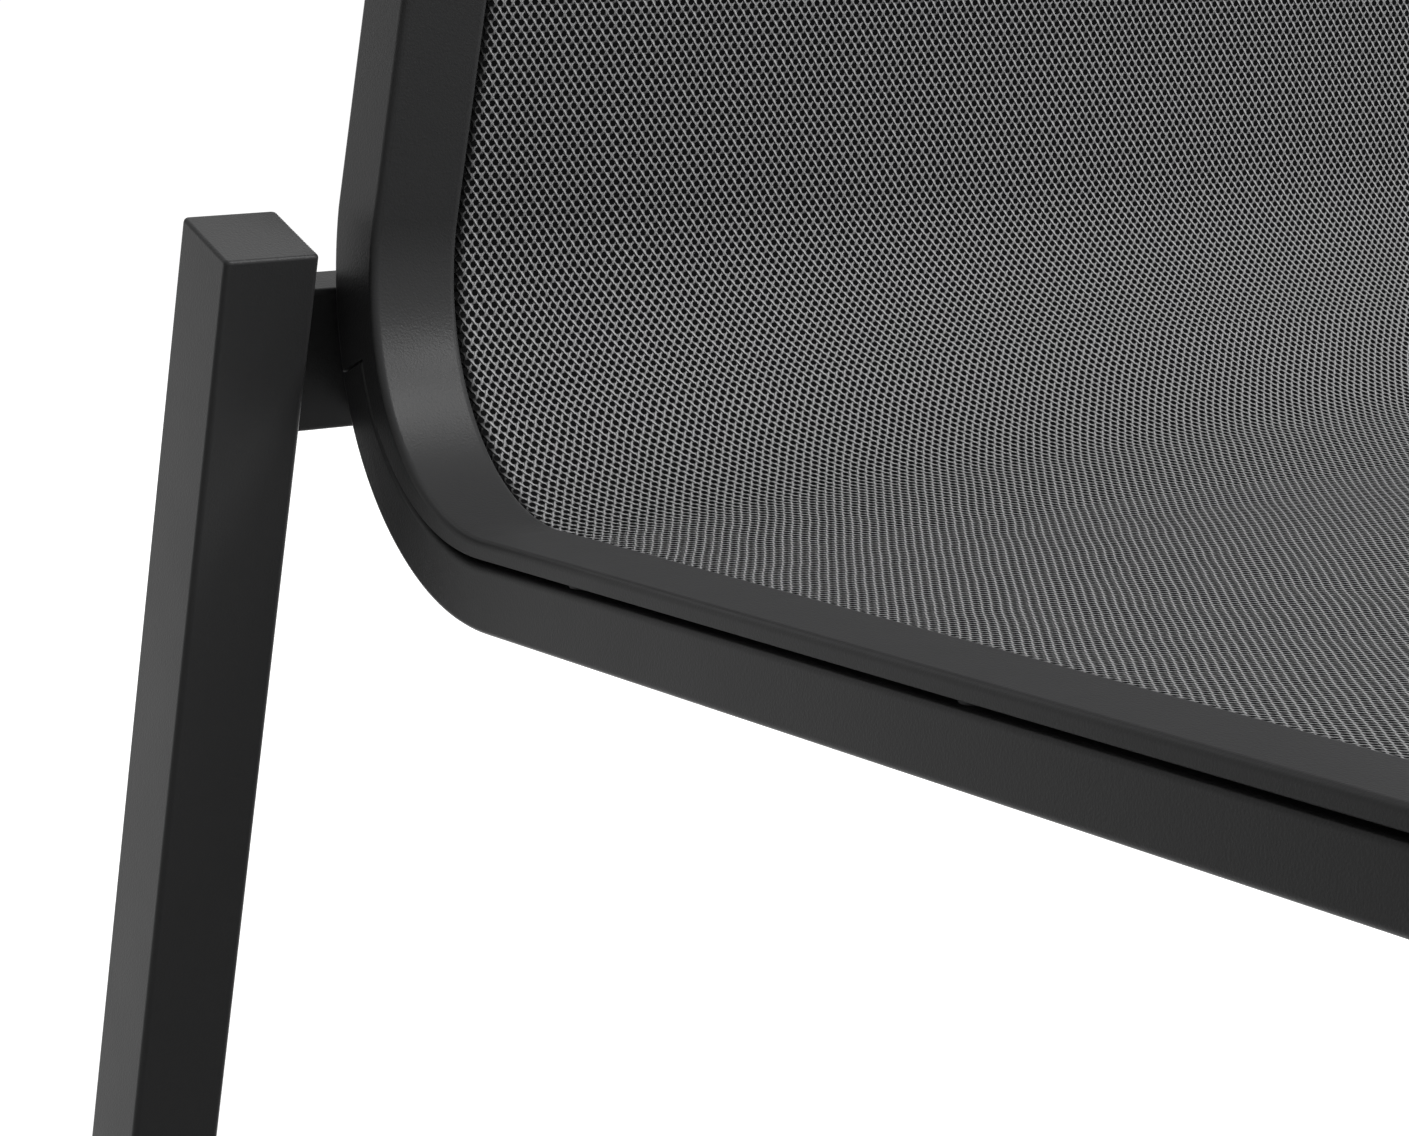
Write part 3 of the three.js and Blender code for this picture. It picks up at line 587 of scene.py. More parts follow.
def coated(name, tint, roughness, specular, peel_size=0.6 * MM, peel_height=0.06 * MM, metallic=0.0):
    """A solid finish with the coat grain"""
    material, surface = principled(name)
    grain = add_node(material.node_tree, "ShaderNodeGroup", {
        "Colour": tint,
        "Peel size": peel_size,
        "Peel height": peel_height,
        "Roughness": roughness,
        "Patchiness": PATCHINESS,
    }, node_tree=bpy.data.node_groups.get(GRAIN) or grain_group()).outputs
    wire(surface, {
        "Base Color": grain["Colour"],
        "Roughness": grain["Roughness"],
        "Normal": grain["Normal"],
        "Specular IOR Level": specular,
        "Metallic": metallic,
    })
    return material


def powder_coat(name):
    return coated(name, paint.powder, roughness=0.33, specular=0.105)


def moulded_plastic(name):
    return coated(name, paint.plastic, roughness=0.5, specular=0.12, peel_size=0.5 * MM,
                  peel_height=0.03 * MM)


def dark_steel(name):
    return coated(name, paint.steel, roughness=0.35, specular=0.5, metallic=1.0, peel_height=0.004 * MM)


# Coated mesh of the sling

WAVES_PER_METRE = 45.0
WAVE_DETAIL = 1.0
WAVE_SHARE = 0.5
ROW_RIDGE_SHARE = 0.53
HOLE_UP_TO = 1.05
STRAND_FROM = 1.5
CROSSING_SHARE = 0.2
FIRST_HEIGHT_SHARE = 0.82
SECOND_HEIGHT_SHARE = 0.6
# Painted light and shade on the strands: crests lighter and valleys darker in the base colour
PAINTED_VALLEY_SHADE = 0.15
PAINTED_CREST_LIGHT = 0.9
# Share of the painted shade beside each rail that is fully black
PAINTED_RAIL_SHADE_BLACK_SHARE = 0.35
HOLE_ROUGHNESS = 0.95
STRAND_SMOOTHER_BY = 0.55
COAT_SHARE = 0.3
COAT_ROUGHNESS = 0.6
MESH_SPECULAR = 0.06
WEAVE_RELIEF = 1.4 * MM


def weave_group():
    """Two families of strands that pass over and under each other round staggered round holes"""
    inputs = ("Across", "Along", "From rail", "Hole pitch", "Row pitch", "Selvage", "Strand", "Hole",
              "Relief")
    group, given, end = group_of("Open weave", inputs, ("Colour", "Roughness", "Coat", "Normal"))
    plus, minus, times, over = sums_in(group)
    times_plus = partial(maths, group, "MULTIPLY_ADD")

    def cosine(phase):
        return maths(group, "COSINE", times(phase, 2 * math.pi))

    def ridge(phase):
        return times_plus(cosine(phase), -0.5, 0.5)

    place = add_node(group, "ShaderNodeCombineXYZ", {"X": given["Across"], "Y": given["Along"]}).outputs[0]
    waver = times_plus(noise(group, place, WAVES_PER_METRE, WAVE_DETAIL), WAVE_SHARE, -WAVE_SHARE / 2)
    across = plus(over(given["Across"], given["Hole pitch"]), waver)
    rows = over(given["Along"], given["Row pitch"])
    half_rows = times(rows, 0.5)
    first_ridge, second_ridge = ridge(plus(across, half_rows)), ridge(minus(across, half_rows))
    openness = plus(plus(first_ridge, second_ridge), times(ridge(rows), ROW_RIDGE_SHARE))
    strand = eased(group, openness, HOLE_UP_TO, STRAND_FROM)
    on_top = times(cosine(across), CROSSING_SHARE)
    first_height = times(first_ridge, plus(on_top, FIRST_HEIGHT_SHARE))
    second_height = times(second_ridge, minus(SECOND_HEIGHT_SHARE, on_top))
    height = times(maths(group, "MAXIMUM", first_height, second_height), strand)
    # Painted shade: the strands fade to black towards each rail, standing in for the shadow of the rail's
    # edge on the sling, and their coat fades with them
    shade = eased(group, given["From rail"], times(given["Selvage"], PAINTED_RAIL_SHADE_BLACK_SHARE), given["Selvage"])
    # Painted light and shade: the base colour brightens on the strand crests and darkens in the valleys, on
    # top of the bump's own shading
    painted_relief_light = times_plus(height, PAINTED_CREST_LIGHT, PAINTED_VALLEY_SHADE)
    strand_with_painted_light = tinted(group, given["Strand"], times(painted_relief_light, shade))
    # The holes take a near-black colour, painted shade that stands in for the shade seen through the open
    # mesh
    mixed = {"Factor": strand, 6: given["Hole"], 7: strand_with_painted_light}
    wire(end, {
        "Colour": add_node(group, "ShaderNodeMix", mixed, data_type="RGBA").outputs[2],
        "Roughness": times_plus(strand, -STRAND_SMOOTHER_BY, HOLE_ROUGHNESS),
        "Coat": times(times(height, shade), COAT_SHARE),
        "Normal": relief(group, height, given["Relief"]),
    })
    return group


def woven_mesh(name):
    material, surface = principled(name)
    tree = material.node_tree
    flat = add_node(tree, "ShaderNodeUVMap", uv_map="Flat cloth").outputs[0]
    flat_place = add_node(tree, "ShaderNodeSeparateXYZ", {0: flat}).outputs
    weave = add_node(tree, "ShaderNodeGroup", {
        "Across": flat_place["X"],
        "Along": flat_place["Y"],
        "From rail": add_node(tree, "ShaderNodeAttribute", attribute_name="From rail").outputs["Fac"],
        "Hole pitch": cloth.hole_pitch,
        "Row pitch": cloth.row_pitch,
        "Selvage": cloth.painted_rail_shade,
        "Strand": paint.strand,
        "Hole": paint.hole,
        "Relief": WEAVE_RELIEF,
    }, node_tree=weave_group()).outputs
    wire(surface, {
        "Base Color": weave["Colour"],
        "Roughness": weave["Roughness"],
        "Normal": weave["Normal"],
        "Coat Weight": weave["Coat"],
        "Coat Roughness": COAT_ROUGHNESS,
        "Specular IOR Level": MESH_SPECULAR,
    })
    return material


FINISHES = {
    "charcoal_frame": ("Charcoal powder coat", powder_coat),
    "black_plastic": ("Black plastic", moulded_plastic),
    "dark_hardware": ("Blackened steel", dark_steel),
    "sling_mesh": ("Coated mesh", woven_mesh),
}


def finish_of(slot):
    """The material of a slot, made when it is first asked for"""
    name, make = FINISHES[slot]
    return bpy.data.materials.get(name) or make(name)


# Sling rails and the side tubes under them

HOLLOW_WALL = 1.6 * MM
END_POCKET = 12 * MM
CHANNEL_SIDES = 20
LIP_EDGE_ROUND = 0.4 * MM
SLOT_MOUTH_ROUND = 0.35 * MM
TUBE_END_ROUND = 0.5 * MM


def notch_width():
    return rail.tube_width + FIT_GAP


def make_sling_rail():
    """Straight bar with its groove, its notch below the seam and its open ends, then bent"""
    width, depth = rail.width, rail.depth
    front, top = rail_front(), rail_top()
    piece = add_box("rail", (0, 0, front), (width, depth, top))
    bevel(piece, rail.edge_radius, runs_along(2))
    over = OVERRUN
    cut(piece, add_box("notch", (-over, rail.lip, front - over), (notch_width(), depth + over, seam_at())))
    bevel(piece, LIP_EDGE_ROUND, lies_at(x=0, y=rail.lip), 2)
    centre = (width - rail.channel_inset, rail.slot_depth, (front + top) / 2)
    cut(piece, add_cylinder("channel", centre, rail.channel_radius, top - front + 2 * over, CHANNEL_SIDES))
    half_slot = rail.slot_width / 2
    mouth = (rail.slot_depth - half_slot, rail.slot_depth + half_slot)
    cut(piece, add_box("slot", (width - rail.channel_inset, mouth[0], front - over),
                       (width + over, mouth[1], top + over)))
    bevel(piece, SLOT_MOUTH_ROUND, lambda *ends: any(lies_at(x=width, y=edge)(*ends) for edge in mouth), 2)
    wall = HOLLOW_WALL
    cut(piece, add_box("top_pocket", (wall, wall, top - END_POCKET),
                       (notch_width() - wall, depth - wall, top + over)))
    web_low = rail.slot_depth + rail.channel_radius + wall
    cut(piece, add_box("front_pocket", (notch_width() + wall, web_low, front - over),
                       (width - wall, depth - wall, front + END_POCKET)))
    divide(piece, rail_places(front, top))

    def bend(across, deep, along):
        in_lip = across < notch_width() + FIT_GAP and rail.edge_radius < deep <= rail.lip + HAIR
        if in_lip and along < seam_at() + HAIR:
            stretch = (lip_at(along) - rail.edge_radius) / (rail.lip - rail.edge_radius)
            deep = rail.edge_radius + (deep - rail.edge_radius) * stretch
        return on_rail(across, deep, along)

    reshape(piece, bend)
    return piece


def make_side_tube():
    """Tube that follows the bend under the lip, rounded at its closed end"""
    face = rail.lip + rail.shadow_gap
    front, rear = rail_front(), seam_at() - rail.seam_gap
    piece = add_box("side_tube", (0, face, front), (rail.tube_width, rail.depth, rear))
    bevel(piece, rail.edge_radius, runs_along(2))
    bevel(piece, TUBE_END_ROUND, lies_at(z=rear), 2)
    wall = HOLLOW_WALL
    cut(piece, add_box("hollow", (wall, face + wall, front - OVERRUN),
                       (rail.tube_width - wall, rail.depth - wall, front + END_POCKET)))
    divide(piece, rail_places(front, rear))

    def bend(across, deep, along):
        stretch = (rail.depth - tube_face_at(along)) / (rail.depth - face)
        return on_rail(across, rail.depth - (rail.depth - deep) * stretch, along)

    reshape(piece, bend)
    return piece


# Legs, glides, crossbars and saddles

SADDLE_INSET = 13.6 * MM
SADDLE_WIDTH = 9.4 * MM
SADDLE_HEIGHT = 32 * MM
SADDLE_REACH = 42 * MM
SADDLE_BELOW_BAR_TOP = 3 * MM
SADDLE_EDGE_ROUND = 0.4 * MM
SADDLE_FACET_UP_TO = 8 * MM
SADDLE_BEND_SIDES = 240


class LegLine:
    """Top corner, rake and cut of the rear or front pair of legs"""

    def __init__(self, end):
        half = rail.frame_width / 2 + leg.to_rail + leg.width
        if end == "rear":
            self.rake, self.cut = leg.rear_rake, leg.rear_cut
            self.bar_back = leg.rear_bar_set_back
            y = bend_centre_y() + leg.behind_bend
            z = rail.bend_height - leg.rear_top_drop
        else:
            slope = rail.seat_slope
            self.rake = self.cut = -slope
            self.bar_back = (leg.depth - leg.bar_depth) / 2
            along = rail_front() + leg.front_set_back - leg.depth / 2
            out = rail.bend_radius + rail.depth + FIT_GAP - leg.bar_below_top
            y = bend_centre_y() - out * math.sin(slope) + along * math.cos(slope)
            z = rail.bend_height - out * math.cos(slope) - along * math.sin(slope)
        self.corner = Vector((-half, y, z))
        self.down = Vector((-math.tan(leg.splay), math.tan(self.rake), -1))

    def top(self, across, rearward):
        rise = Vector((across, rearward * math.cos(self.cut), rearward * math.sin(self.cut)))
        return self.corner + rise

    def at_height(self, across, rearward, height):
        top = self.top(across, rearward)
        return top + self.down * (top.z - height)

    def frame_point(self, rearward, below):
        """Side-plane point: rearward from the leg's front face, and below its top corner"""
        y = self.corner.y + rearward * math.cos(self.rake) + below * math.sin(self.rake)
        z = self.corner.z + rearward * math.sin(self.rake) - below * math.cos(self.rake)
        return y, z

    def inner_face(self, y, z):
        behind, above = y - self.corner.y, z - self.corner.z
        slant = 1 + math.tan(self.cut) * math.tan(self.rake)
        drop = (math.tan(self.cut) * behind - above) / slant
        return self.corner.x + leg.width - math.tan(leg.splay) * drop


def make_leg(line):
    """Closed and rounded at its cut top, open at the foot for the glide"""
    tall = line.corner.z - leg.glide_lip
    piece = add_box("leg", (0, 0, -tall), (leg.width, leg.depth, 0))
    bevel(piece, leg.corner_radius, runs_along(2))
    bevel(piece, leg.top_round, lies_at(z=0), 3)
    wall = leg.wall
    cut(piece, add_box("foot_pocket", (wall, wall, -tall - OVERRUN),
                       (leg.width - wall, leg.depth - wall, -tall + leg.glide_plug + OVERRUN)))

    def stand(across, rearward, up):
        top = line.top(across, rearward)
        foot = line.at_height(across, rearward, leg.glide_lip + FIT_GAP)
        return top.lerp(foot, -up / tall)

    reshape(piece, stand)
    return piece


def make_glide(line):
    """Pad under the foot, with a plug up into the leg"""
    piece = add_box("glide", (0, 0, 0), (leg.width, leg.depth, leg.glide_lip))
    bevel(piece, leg.corner_radius, runs_along(2))
    bevel(piece, leg.glide_chamfer, lies_at(z=0), 3)
    with editing(piece, "FACE") as mesh:
        for face in mesh.faces:
            face.select_set(all(near(v.co.z, leg.glide_lip) for v in face.verts))
        bmesh.update_edit_mesh(piece.data)
        bpy.ops.mesh.inset(thickness=leg.wall + FIT_GAP)
        bpy.ops.mesh.extrude_region_move(TRANSFORM_OT_translate={"value": (0, 0, leg.glide_plug)})
    reshape(piece, line.at_height)
    return piece


def make_crossbar(line):
    """Rectangular tube whose ends meet the inner faces of both legs"""
    half = rail.frame_width / 2
    low = -(leg.bar_below_top + leg.bar_height)
    back = line.bar_back + leg.bar_depth
    piece = add_box("crossbar", (-half, line.bar_back, low), (half, back, -leg.bar_below_top))
    bevel(piece, leg.bar_radius, runs_along(0))

    def lay(x, rearward, up):
        y, z = line.frame_point(rearward, -up)
        reach = line.inner_face(y, z) + FIT_GAP
        return Vector((reach if x < 0 else -reach, y, z))

    reshape(piece, lay)
    return piece


def make_saddle(line):
    """Block between the rear crossbar and the round back of the bend"""
    top = leg.bar_below_top + SADDLE_BELOW_BAR_TOP
    front = line.bar_back - FIT_GAP
    outer = -rail.frame_width / 2 + SADDLE_INSET
    piece = add_box("saddle", (outer, front - SADDLE_REACH, -(top + SADDLE_HEIGHT)),
                    (outer + SADDLE_WIDTH, front, -top))
    reshape(piece, lambda x, rearward, up: Vector((x, *line.frame_point(rearward, -up))))
    radius = rail.bend_radius + rail.depth + FIT_GAP
    centre = (outer, bend_centre_y(), rail.bend_height)
    cut(piece, add_cylinder("bend", centre, radius, 4 * SADDLE_WIDTH, SADDLE_BEND_SIDES,
                            turn=(0, math.pi / 2, 0)))
    bevel(piece, SADDLE_EDGE_ROUND, lambda a, b: (a - b).length > SADDLE_FACET_UP_TO, 2)
    return piece


# Spreader bars and caps

BOW_STEPS = 32
CAP_PLATE = 2.5 * MM
CAP_PLUG = 8 * MM
CAP_ROUND = 0.8 * MM
CAP_MARGIN = HOLLOW_WALL + FIT_GAP


def spreaders():
    """Where each spreader lies along the rails, and how far its middle bows back"""
    return {
        "seat_front_bar": (rail_front() + cloth.front_bar_in, 0),
        "back_mid_bar": (bend_length() + cloth.mid_bar_rise, cloth.mid_bar_bow),
        "back_top_bar": (rail_top() - cloth.top_bar_in, 0),
    }


def make_spreader(along, bow):
    """Bar between the rails, which may bow back between straight ends"""
    half_width = cloth.bar_width / 2
    face = cloth.bar_face_depth
    piece = add_box("spreader", (-1, face, -half_width), (1, face + cloth.bar_thickness, half_width))
    bevel(piece, cloth.bar_corner, runs_along(0))
    middle = place_on_rail(along)
    rise = Vector((0, -middle.into.z, middle.into.y))

    def end_at(place):
        return rail.frame_width / 2 - place_on_rail(place).inward - rail.width - FIT_GAP

    bowed = 1 - cloth.bar_straight_end / end_at(along)
    if bow:
        divide(piece, spread(-bowed, bowed, BOW_STEPS), axis=0)

    def lay(portion, deep, up):
        from_middle = min(1, abs(portion) / bowed)
        point = Vector((portion * end_at(along + up), middle.y, middle.z))
        return point + middle.into * (deep + bow * (1 - from_middle * from_middle)) + rise * up

    reshape(piece, lay)
    return piece


def finish_cap(piece, outer_place, plug_low, plug_high):
    """Rounds the edge of a cap's outer face, adds its plug and carries it to the rail"""
    bevel(piece, CAP_ROUND, lies_at(z=outer_place), 3)
    unite(piece, add_box("plug", plug_low, plug_high))
    reshape(piece, on_rail)
    return piece


def make_rail_top_cap():
    low = rail_top() + FIT_GAP
    piece = add_box("cap", (0, 0, low), (rail.width, rail.depth, low + CAP_PLATE))
    bevel(piece, rail.edge_radius, runs_along(2))
    return finish_cap(piece, low + CAP_PLATE, (CAP_MARGIN, CAP_MARGIN, rail_top() - CAP_PLUG),
                      (notch_width() - CAP_MARGIN, rail.depth - CAP_MARGIN, low + CAP_PLATE / 2))


def make_rail_front_cap():
    high = rail_front() - FIT_GAP
    low = high - CAP_PLATE
    piece = add_box("cap", (0, 0, low), (rail.width, rail.lip, high))
    unite(piece, add_box("web", (notch_width(), 0, low), (rail.width, rail.depth, high)))
    web_low = rail.slot_depth + rail.channel_radius + CAP_MARGIN
    return finish_cap(piece, low, (notch_width() + CAP_MARGIN, web_low, low + CAP_PLATE / 2),
                      (rail.width - CAP_MARGIN, rail.depth - CAP_MARGIN, rail_front() + CAP_PLUG))


def make_side_tube_cap():
    high = rail_front() - FIT_GAP
    low = high - CAP_PLATE
    face = rail.lip + rail.shadow_gap
    piece = add_box("cap", (0, face, low), (rail.tube_width, rail.depth, high))
    bevel(piece, rail.edge_radius, runs_along(2))
    return finish_cap(piece, low, (CAP_MARGIN, face + CAP_MARGIN, low + CAP_PLATE / 2),
                      (rail.tube_width - CAP_MARGIN, rail.depth - CAP_MARGIN, rail_front() + CAP_PLUG))


# Sling and its rods

OPEN_STEPS = 56
SLEEVE_STEPS = 14
SLEEVE_HALF_TURNS = 1.8
FOLD_STEPS = 8
SEAT_STEPS = 24
LOWER_BACK_STEPS = 5
UPPER_BACK_STEPS = 12
CLOTH_SHARP_ANGLE = math.radians(50)
ROD_SIDES = 12


def sag_at(along):
    """How deep the middle of the sling hangs below its edges"""
    def hump(centre, run):
        off = (along - centre) / (run / 2)
        return math.cos(off * math.pi / 2) ** 2 if abs(off) < 1 else 0

    lumbar_middle = (lumbar_start() + upper_start()) / 2
    return (cloth.seat_sag * hump(rail_front() / 2, cloth.seat_sag_run)
            - cloth.bend_lift * hump(bend_length() / 2, cloth.bend_lift_run)
            + cloth.lumbar_sag * hump(lumbar_middle, cloth.lumbar_sag_run))


def sling_columns():
    """Places across the cloth: a share of the open width, and how far round the sleeve"""
    sleeve = [(1, s) for s in spread(0, 1, SLEEVE_STEPS)[1:]]
    return [(-1, s) for _, s in reversed(sleeve)] + [(c, 0) for c in spread(-1, 1, OPEN_STEPS)] + sleeve


def sling_rows():
    """Places along the cloth: how far along the rail, how deep under the sheet, and the flat length"""
    front = rail_front() + cloth.end_margin + cloth.hem_fold
    top = rail_top() - cloth.end_margin - cloth.hem_fold
    fold, hem = cloth.hem_fold, cloth.hem
    rows = [(front + s, 2 * fold, front - math.pi * fold - s) for s in (hem, hem / 2, 0)]
    for turn in spread(math.pi, 0, FOLD_STEPS)[1:-1]:
        rows.append((front - fold * math.sin(turn), fold * (1 - math.cos(turn)), front - fold * turn))
    stops = [front, top, *rail_places(front, top)]
    for low, high, steps in ((front, 0, SEAT_STEPS), (upper_start(), top, UPPER_BACK_STEPS),
                             (bend_length(), lumbar_start(), LOWER_BACK_STEPS)):
        stops += spread(low, high, steps)[1:-1]
    rows += [(place, 0, place) for place in sorted({round(p, SAME_PLACE_DIGITS) for p in stops})]
    for turn in spread(0, math.pi, FOLD_STEPS)[1:-1]:
        rows.append((top + fold * math.sin(turn), fold * (1 - math.cos(turn)), top + fold * turn))
    rows += [(top - s, 2 * fold, top + math.pi * fold + s) for s in (0, hem / 2, hem)]
    return rows


def half_open_at(along):
    return rail.frame_width / 2 - rail.width - place_on_rail(along).inward


def cloth_point(column, row):
    """Point of the cloth's middle, with its flat place across"""
    portion, round_sleeve = column
    along, under, _ = row
    place = place_on_rail(along)
    half_here = half_open_at(along)
    deep = rail.slot_depth + sag_at(along) * (1 - portion * portion)
    x = flat = portion * half_here
    if round_sleeve > 0:
        under = 0
        straight = rail.channel_inset - cloth.sleeve_radius
        round_length = cloth.sleeve_radius * SLEEVE_HALF_TURNS * math.pi
        gone = round_sleeve * (straight + round_length)
        x = flat = portion * (half_here + gone)
        if gone >= straight:
            turn = (gone - straight) / cloth.sleeve_radius
            x = portion * (half_here + rail.channel_inset - cloth.sleeve_radius * math.cos(turn))
            deep -= cloth.sleeve_radius * math.sin(turn)
    return Vector((x, place.y, place.z)) + place.into * (deep + under), flat


def make_sling():
    """Flat cloth laid from rail to rail, with folded hems and a sleeve along each side"""
    columns, rows = sling_columns(), sling_rows()
    piece = add("sling", bpy.ops.mesh.primitive_grid_add, x_subdivisions=len(columns) - 1,
                y_subdivisions=len(rows) - 1, size=1)
    flat_layer = piece.data.uv_layers.active
    flat_layer.name = "Flat cloth"
    flat_places, woven_places = [], []
    area = 0.0
    from_rail = piece.data.attributes.new("From rail", "FLOAT", "POINT")
    for vertex in piece.data.vertices:
        column = columns[round((vertex.co.x + 0.5) * (len(columns) - 1))]
        row = rows[round((vertex.co.y + 0.5) * (len(rows) - 1))]
        vertex.co, flat = cloth_point(column, row)
        flat_places.append((flat, row[2]))
        woven_places.append((flat, row[2] + cloth.closer_rows * max(0, row[2] - bend_length() / 2)))
        # Distance from the rail, which sets the painted shade beside each rail
        from_rail.data[vertex.index].value = half_open_at(row[0]) * (1 - abs(column[0]))
    for polygon in piece.data.polygons:
        corners = [flat_places[i] for i in polygon.vertices]
        area += abs(sum(corners[i - 1][0] * corners[i][1] - corners[i][0] * corners[i - 1][1]
                        for i in range(len(corners)))) / 2
        for loop in polygon.loop_indices:
            flat_layer.data[loop].uv = woven_places[piece.data.loops[loop].vertex_index]
    pick(piece)
    thicken = piece.modifiers.new("Thickness", "SOLIDIFY")
    thicken.thickness = cloth.thickness
    thicken.offset = 0
    bpy.ops.object.modifier_apply(modifier=thicken.name)
    bpy.ops.object.shade_smooth_by_angle(angle=CLOTH_SHARP_ANGLE)
    flat_width = max(p[0] for p in flat_places) * 2
    flat_length = max(p[1] for p in flat_places) - min(p[1] for p in flat_places)
    return piece, (flat_width, flat_length), area


def make_rod():
    low, high = rail_front() + cloth.end_margin, rail_top() - cloth.end_margin
    centre = (rail.width - rail.channel_inset, rail.slot_depth, (low + high) / 2)
    piece = add_cylinder("rod", centre, cloth.rod_radius, high - low, ROD_SIDES)
    divide(piece, rail_places(low, high))
    reshape(piece, on_rail)
    return piece


# Fasteners

TURNED_SIDES = 28
SEAT_BOLT_SHARES = (0.84, 0.47, 0.1)
REAR_BOLT_SHARES = (0.24, 0.7)
BOLT_RADIUS = 3 * MM
SEAT_HEAD_RADIUS = 5.4 * MM
SEAT_HEAD_ROUND = 0.2 * MM
COUNTERSINK = 2.6 * MM
SEAT_SOCKET = (4.4 * MM, 2 * MM)
BOLT_TIP_COVER = 1.3 * MM
WASHER_RADIUS = 5 * MM
WASHER_BORE = 3.3 * MM
WASHER_PLAY = 0.2 * MM
REAR_HEAD = (5.2 * MM, 2.8 * MM)
REAR_BOLT_BITE = 8 * MM
SCREW_HEAD = (4.4 * MM, 2.4 * MM)
SCREW_RADIUS = 2.4 * MM
SCREW_BITE = 14 * MM
DOME_START = 0.62
DOME_STEPS = 5
DOME_WIDTH_SHARE = 0.98
DOME_RIM_SHARE = 0.02
DOME_HEIGHT_SHARE = 0.75
SOCKET_WIDTH_SHARE = 0.9
SOCKET_DEPTH_SHARE = 0.7
SOCKET_SIDES = 6


def make_turned(profile, socket, seat, direction):
    """Turned piece from a profile of radius and height, with a hexagon socket in its head"""
    radius, height = profile[0]
    socket_width, socket_depth = socket
    socket_middle = (0, 0, height + socket_depth / 2 - OVERRUN / 2)
    piece = add("turned", bpy.ops.mesh.primitive_circle_add, vertices=TURNED_SIDES, radius=radius,
                fill_type="NGON", location=(0, 0, height))
    with editing(piece, "FACE"):
        bpy.ops.mesh.select_all(action="SELECT")
        for next_radius, next_height in profile[1:]:
            bpy.ops.mesh.extrude_region_move(TRANSFORM_OT_translate={"value": (0, 0, next_height - height)})
            grow = next_radius / radius
            bpy.ops.transform.resize(value=(grow, grow, 1), center_override=(0, 0, next_height))
            radius, height = next_radius, next_height
    close_up(piece)
    cut(piece, add_cylinder("socket", socket_middle, socket_width / 2, socket_depth + OVERRUN, SOCKET_SIDES))
    stand_up = Vector((0, 0, 1)).rotation_difference(Vector(direction)).to_matrix()
    reshape(piece, lambda x, y, z: Vector(seat) + stand_up @ Vector((x, y, z)))
    return piece


def round_head(head, shank, long, clear, seat, direction):
    """Dome head, whose underside stands clear of its seat, and a shank"""
    radius, height = head
    top = -clear - height
    dome = [(radius * math.sin(a) * DOME_WIDTH_SHARE + radius * DOME_RIM_SHARE,
             top + height * DOME_HEIGHT_SHARE * (1 - math.cos(a)))
            for a in spread(DOME_START, math.pi / 2, DOME_STEPS)]
    profile = [*dome, (radius, -clear), (shank, -clear), (shank, long)]
    socket = (radius * SOCKET_WIDTH_SHARE, height * SOCKET_DEPTH_SHARE)
    return make_turned(profile, socket, seat, direction)


def make_seat_bolt(along):
    """Countersunk bolt up through the side tube into the lip"""
    seat = on_rail(rail.tube_width / 2, rail.depth, along)
    profile = [(SEAT_HEAD_RADIUS - SEAT_HEAD_ROUND, 0), (SEAT_HEAD_RADIUS, SEAT_HEAD_ROUND),
               (BOLT_RADIUS, COUNTERSINK), (BOLT_RADIUS, rail.depth - BOLT_TIP_COVER)]
    return make_turned(profile, SEAT_SOCKET, seat, -place_on_rail(along).into)


def make_seat_washer(along):
    """Ring that holds the shadow gap open"""
    face = rail.lip + rail.shadow_gap
    middle = (rail.tube_width / 2, face - rail.shadow_gap / 2, along)
    lying = (math.pi / 2, 0, 0)
    thick = rail.shadow_gap - 2 * WASHER_PLAY
    piece = add_cylinder("washer", middle, WASHER_RADIUS, thick, TURNED_SIDES, lying)
    cut(piece, add_cylinder("bore", middle, WASHER_BORE, OVERRUN, TURNED_SIDES, lying))
    reshape(piece, on_rail)
    return piece


def make_rear_bolt(line, portion):
    """Dome-headed bolt through the rear crossbar and the saddle into the side frame"""
    below = leg.bar_below_top + leg.bar_height * portion
    y, z = line.frame_point(line.bar_back + leg.bar_depth, below)
    across = SADDLE_INSET + SADDLE_WIDTH / 2
    seat = Vector((-rail.frame_width / 2 + across, y, z))
    forward = Vector((0, -math.cos(line.rake), -math.sin(line.rake)))
    to_centre = Vector((0, bend_centre_y() - y, rail.bend_height - z))
    ahead = to_centre.dot(forward)
    miss = to_centre.length_squared - ahead * ahead
    reach = ahead - math.sqrt((rail.bend_radius + rail.depth) ** 2 - miss)
    return round_head(REAR_HEAD, BOLT_RADIUS, reach + REAR_BOLT_BITE, FIT_GAP, seat, forward)


def make_spreader_screw(along):
    """Dome-headed screw through the rail into the spreader's end"""
    seat = on_rail(0, cloth.bar_face_depth + cloth.bar_thickness / 2, along)
    turned_away = place_on_rail(along).inward - place_on_rail(along - SCREW_HEAD[0]).inward
    return round_head(SCREW_HEAD, SCREW_RADIUS, rail.width + FIT_GAP + SCREW_BITE, FIT_GAP + turned_away,
                      seat, (1, 0, 0))


# Operators

class MakeSlingRails(bpy.types.Operator):
    """Model the two bent sling rails and the side tubes under their lips"""
    bl_idname = "chair.make_sling_rails"
    bl_label = "Sling rails and side tubes"

    def execute(self, context):
        load_sizes()
        finish_pair(make_sling_rail(), "sling_rail", "charcoal_frame")
        finish_pair(make_side_tube(), "seat_side_tube", "charcoal_frame")
        return {"FINISHED"}


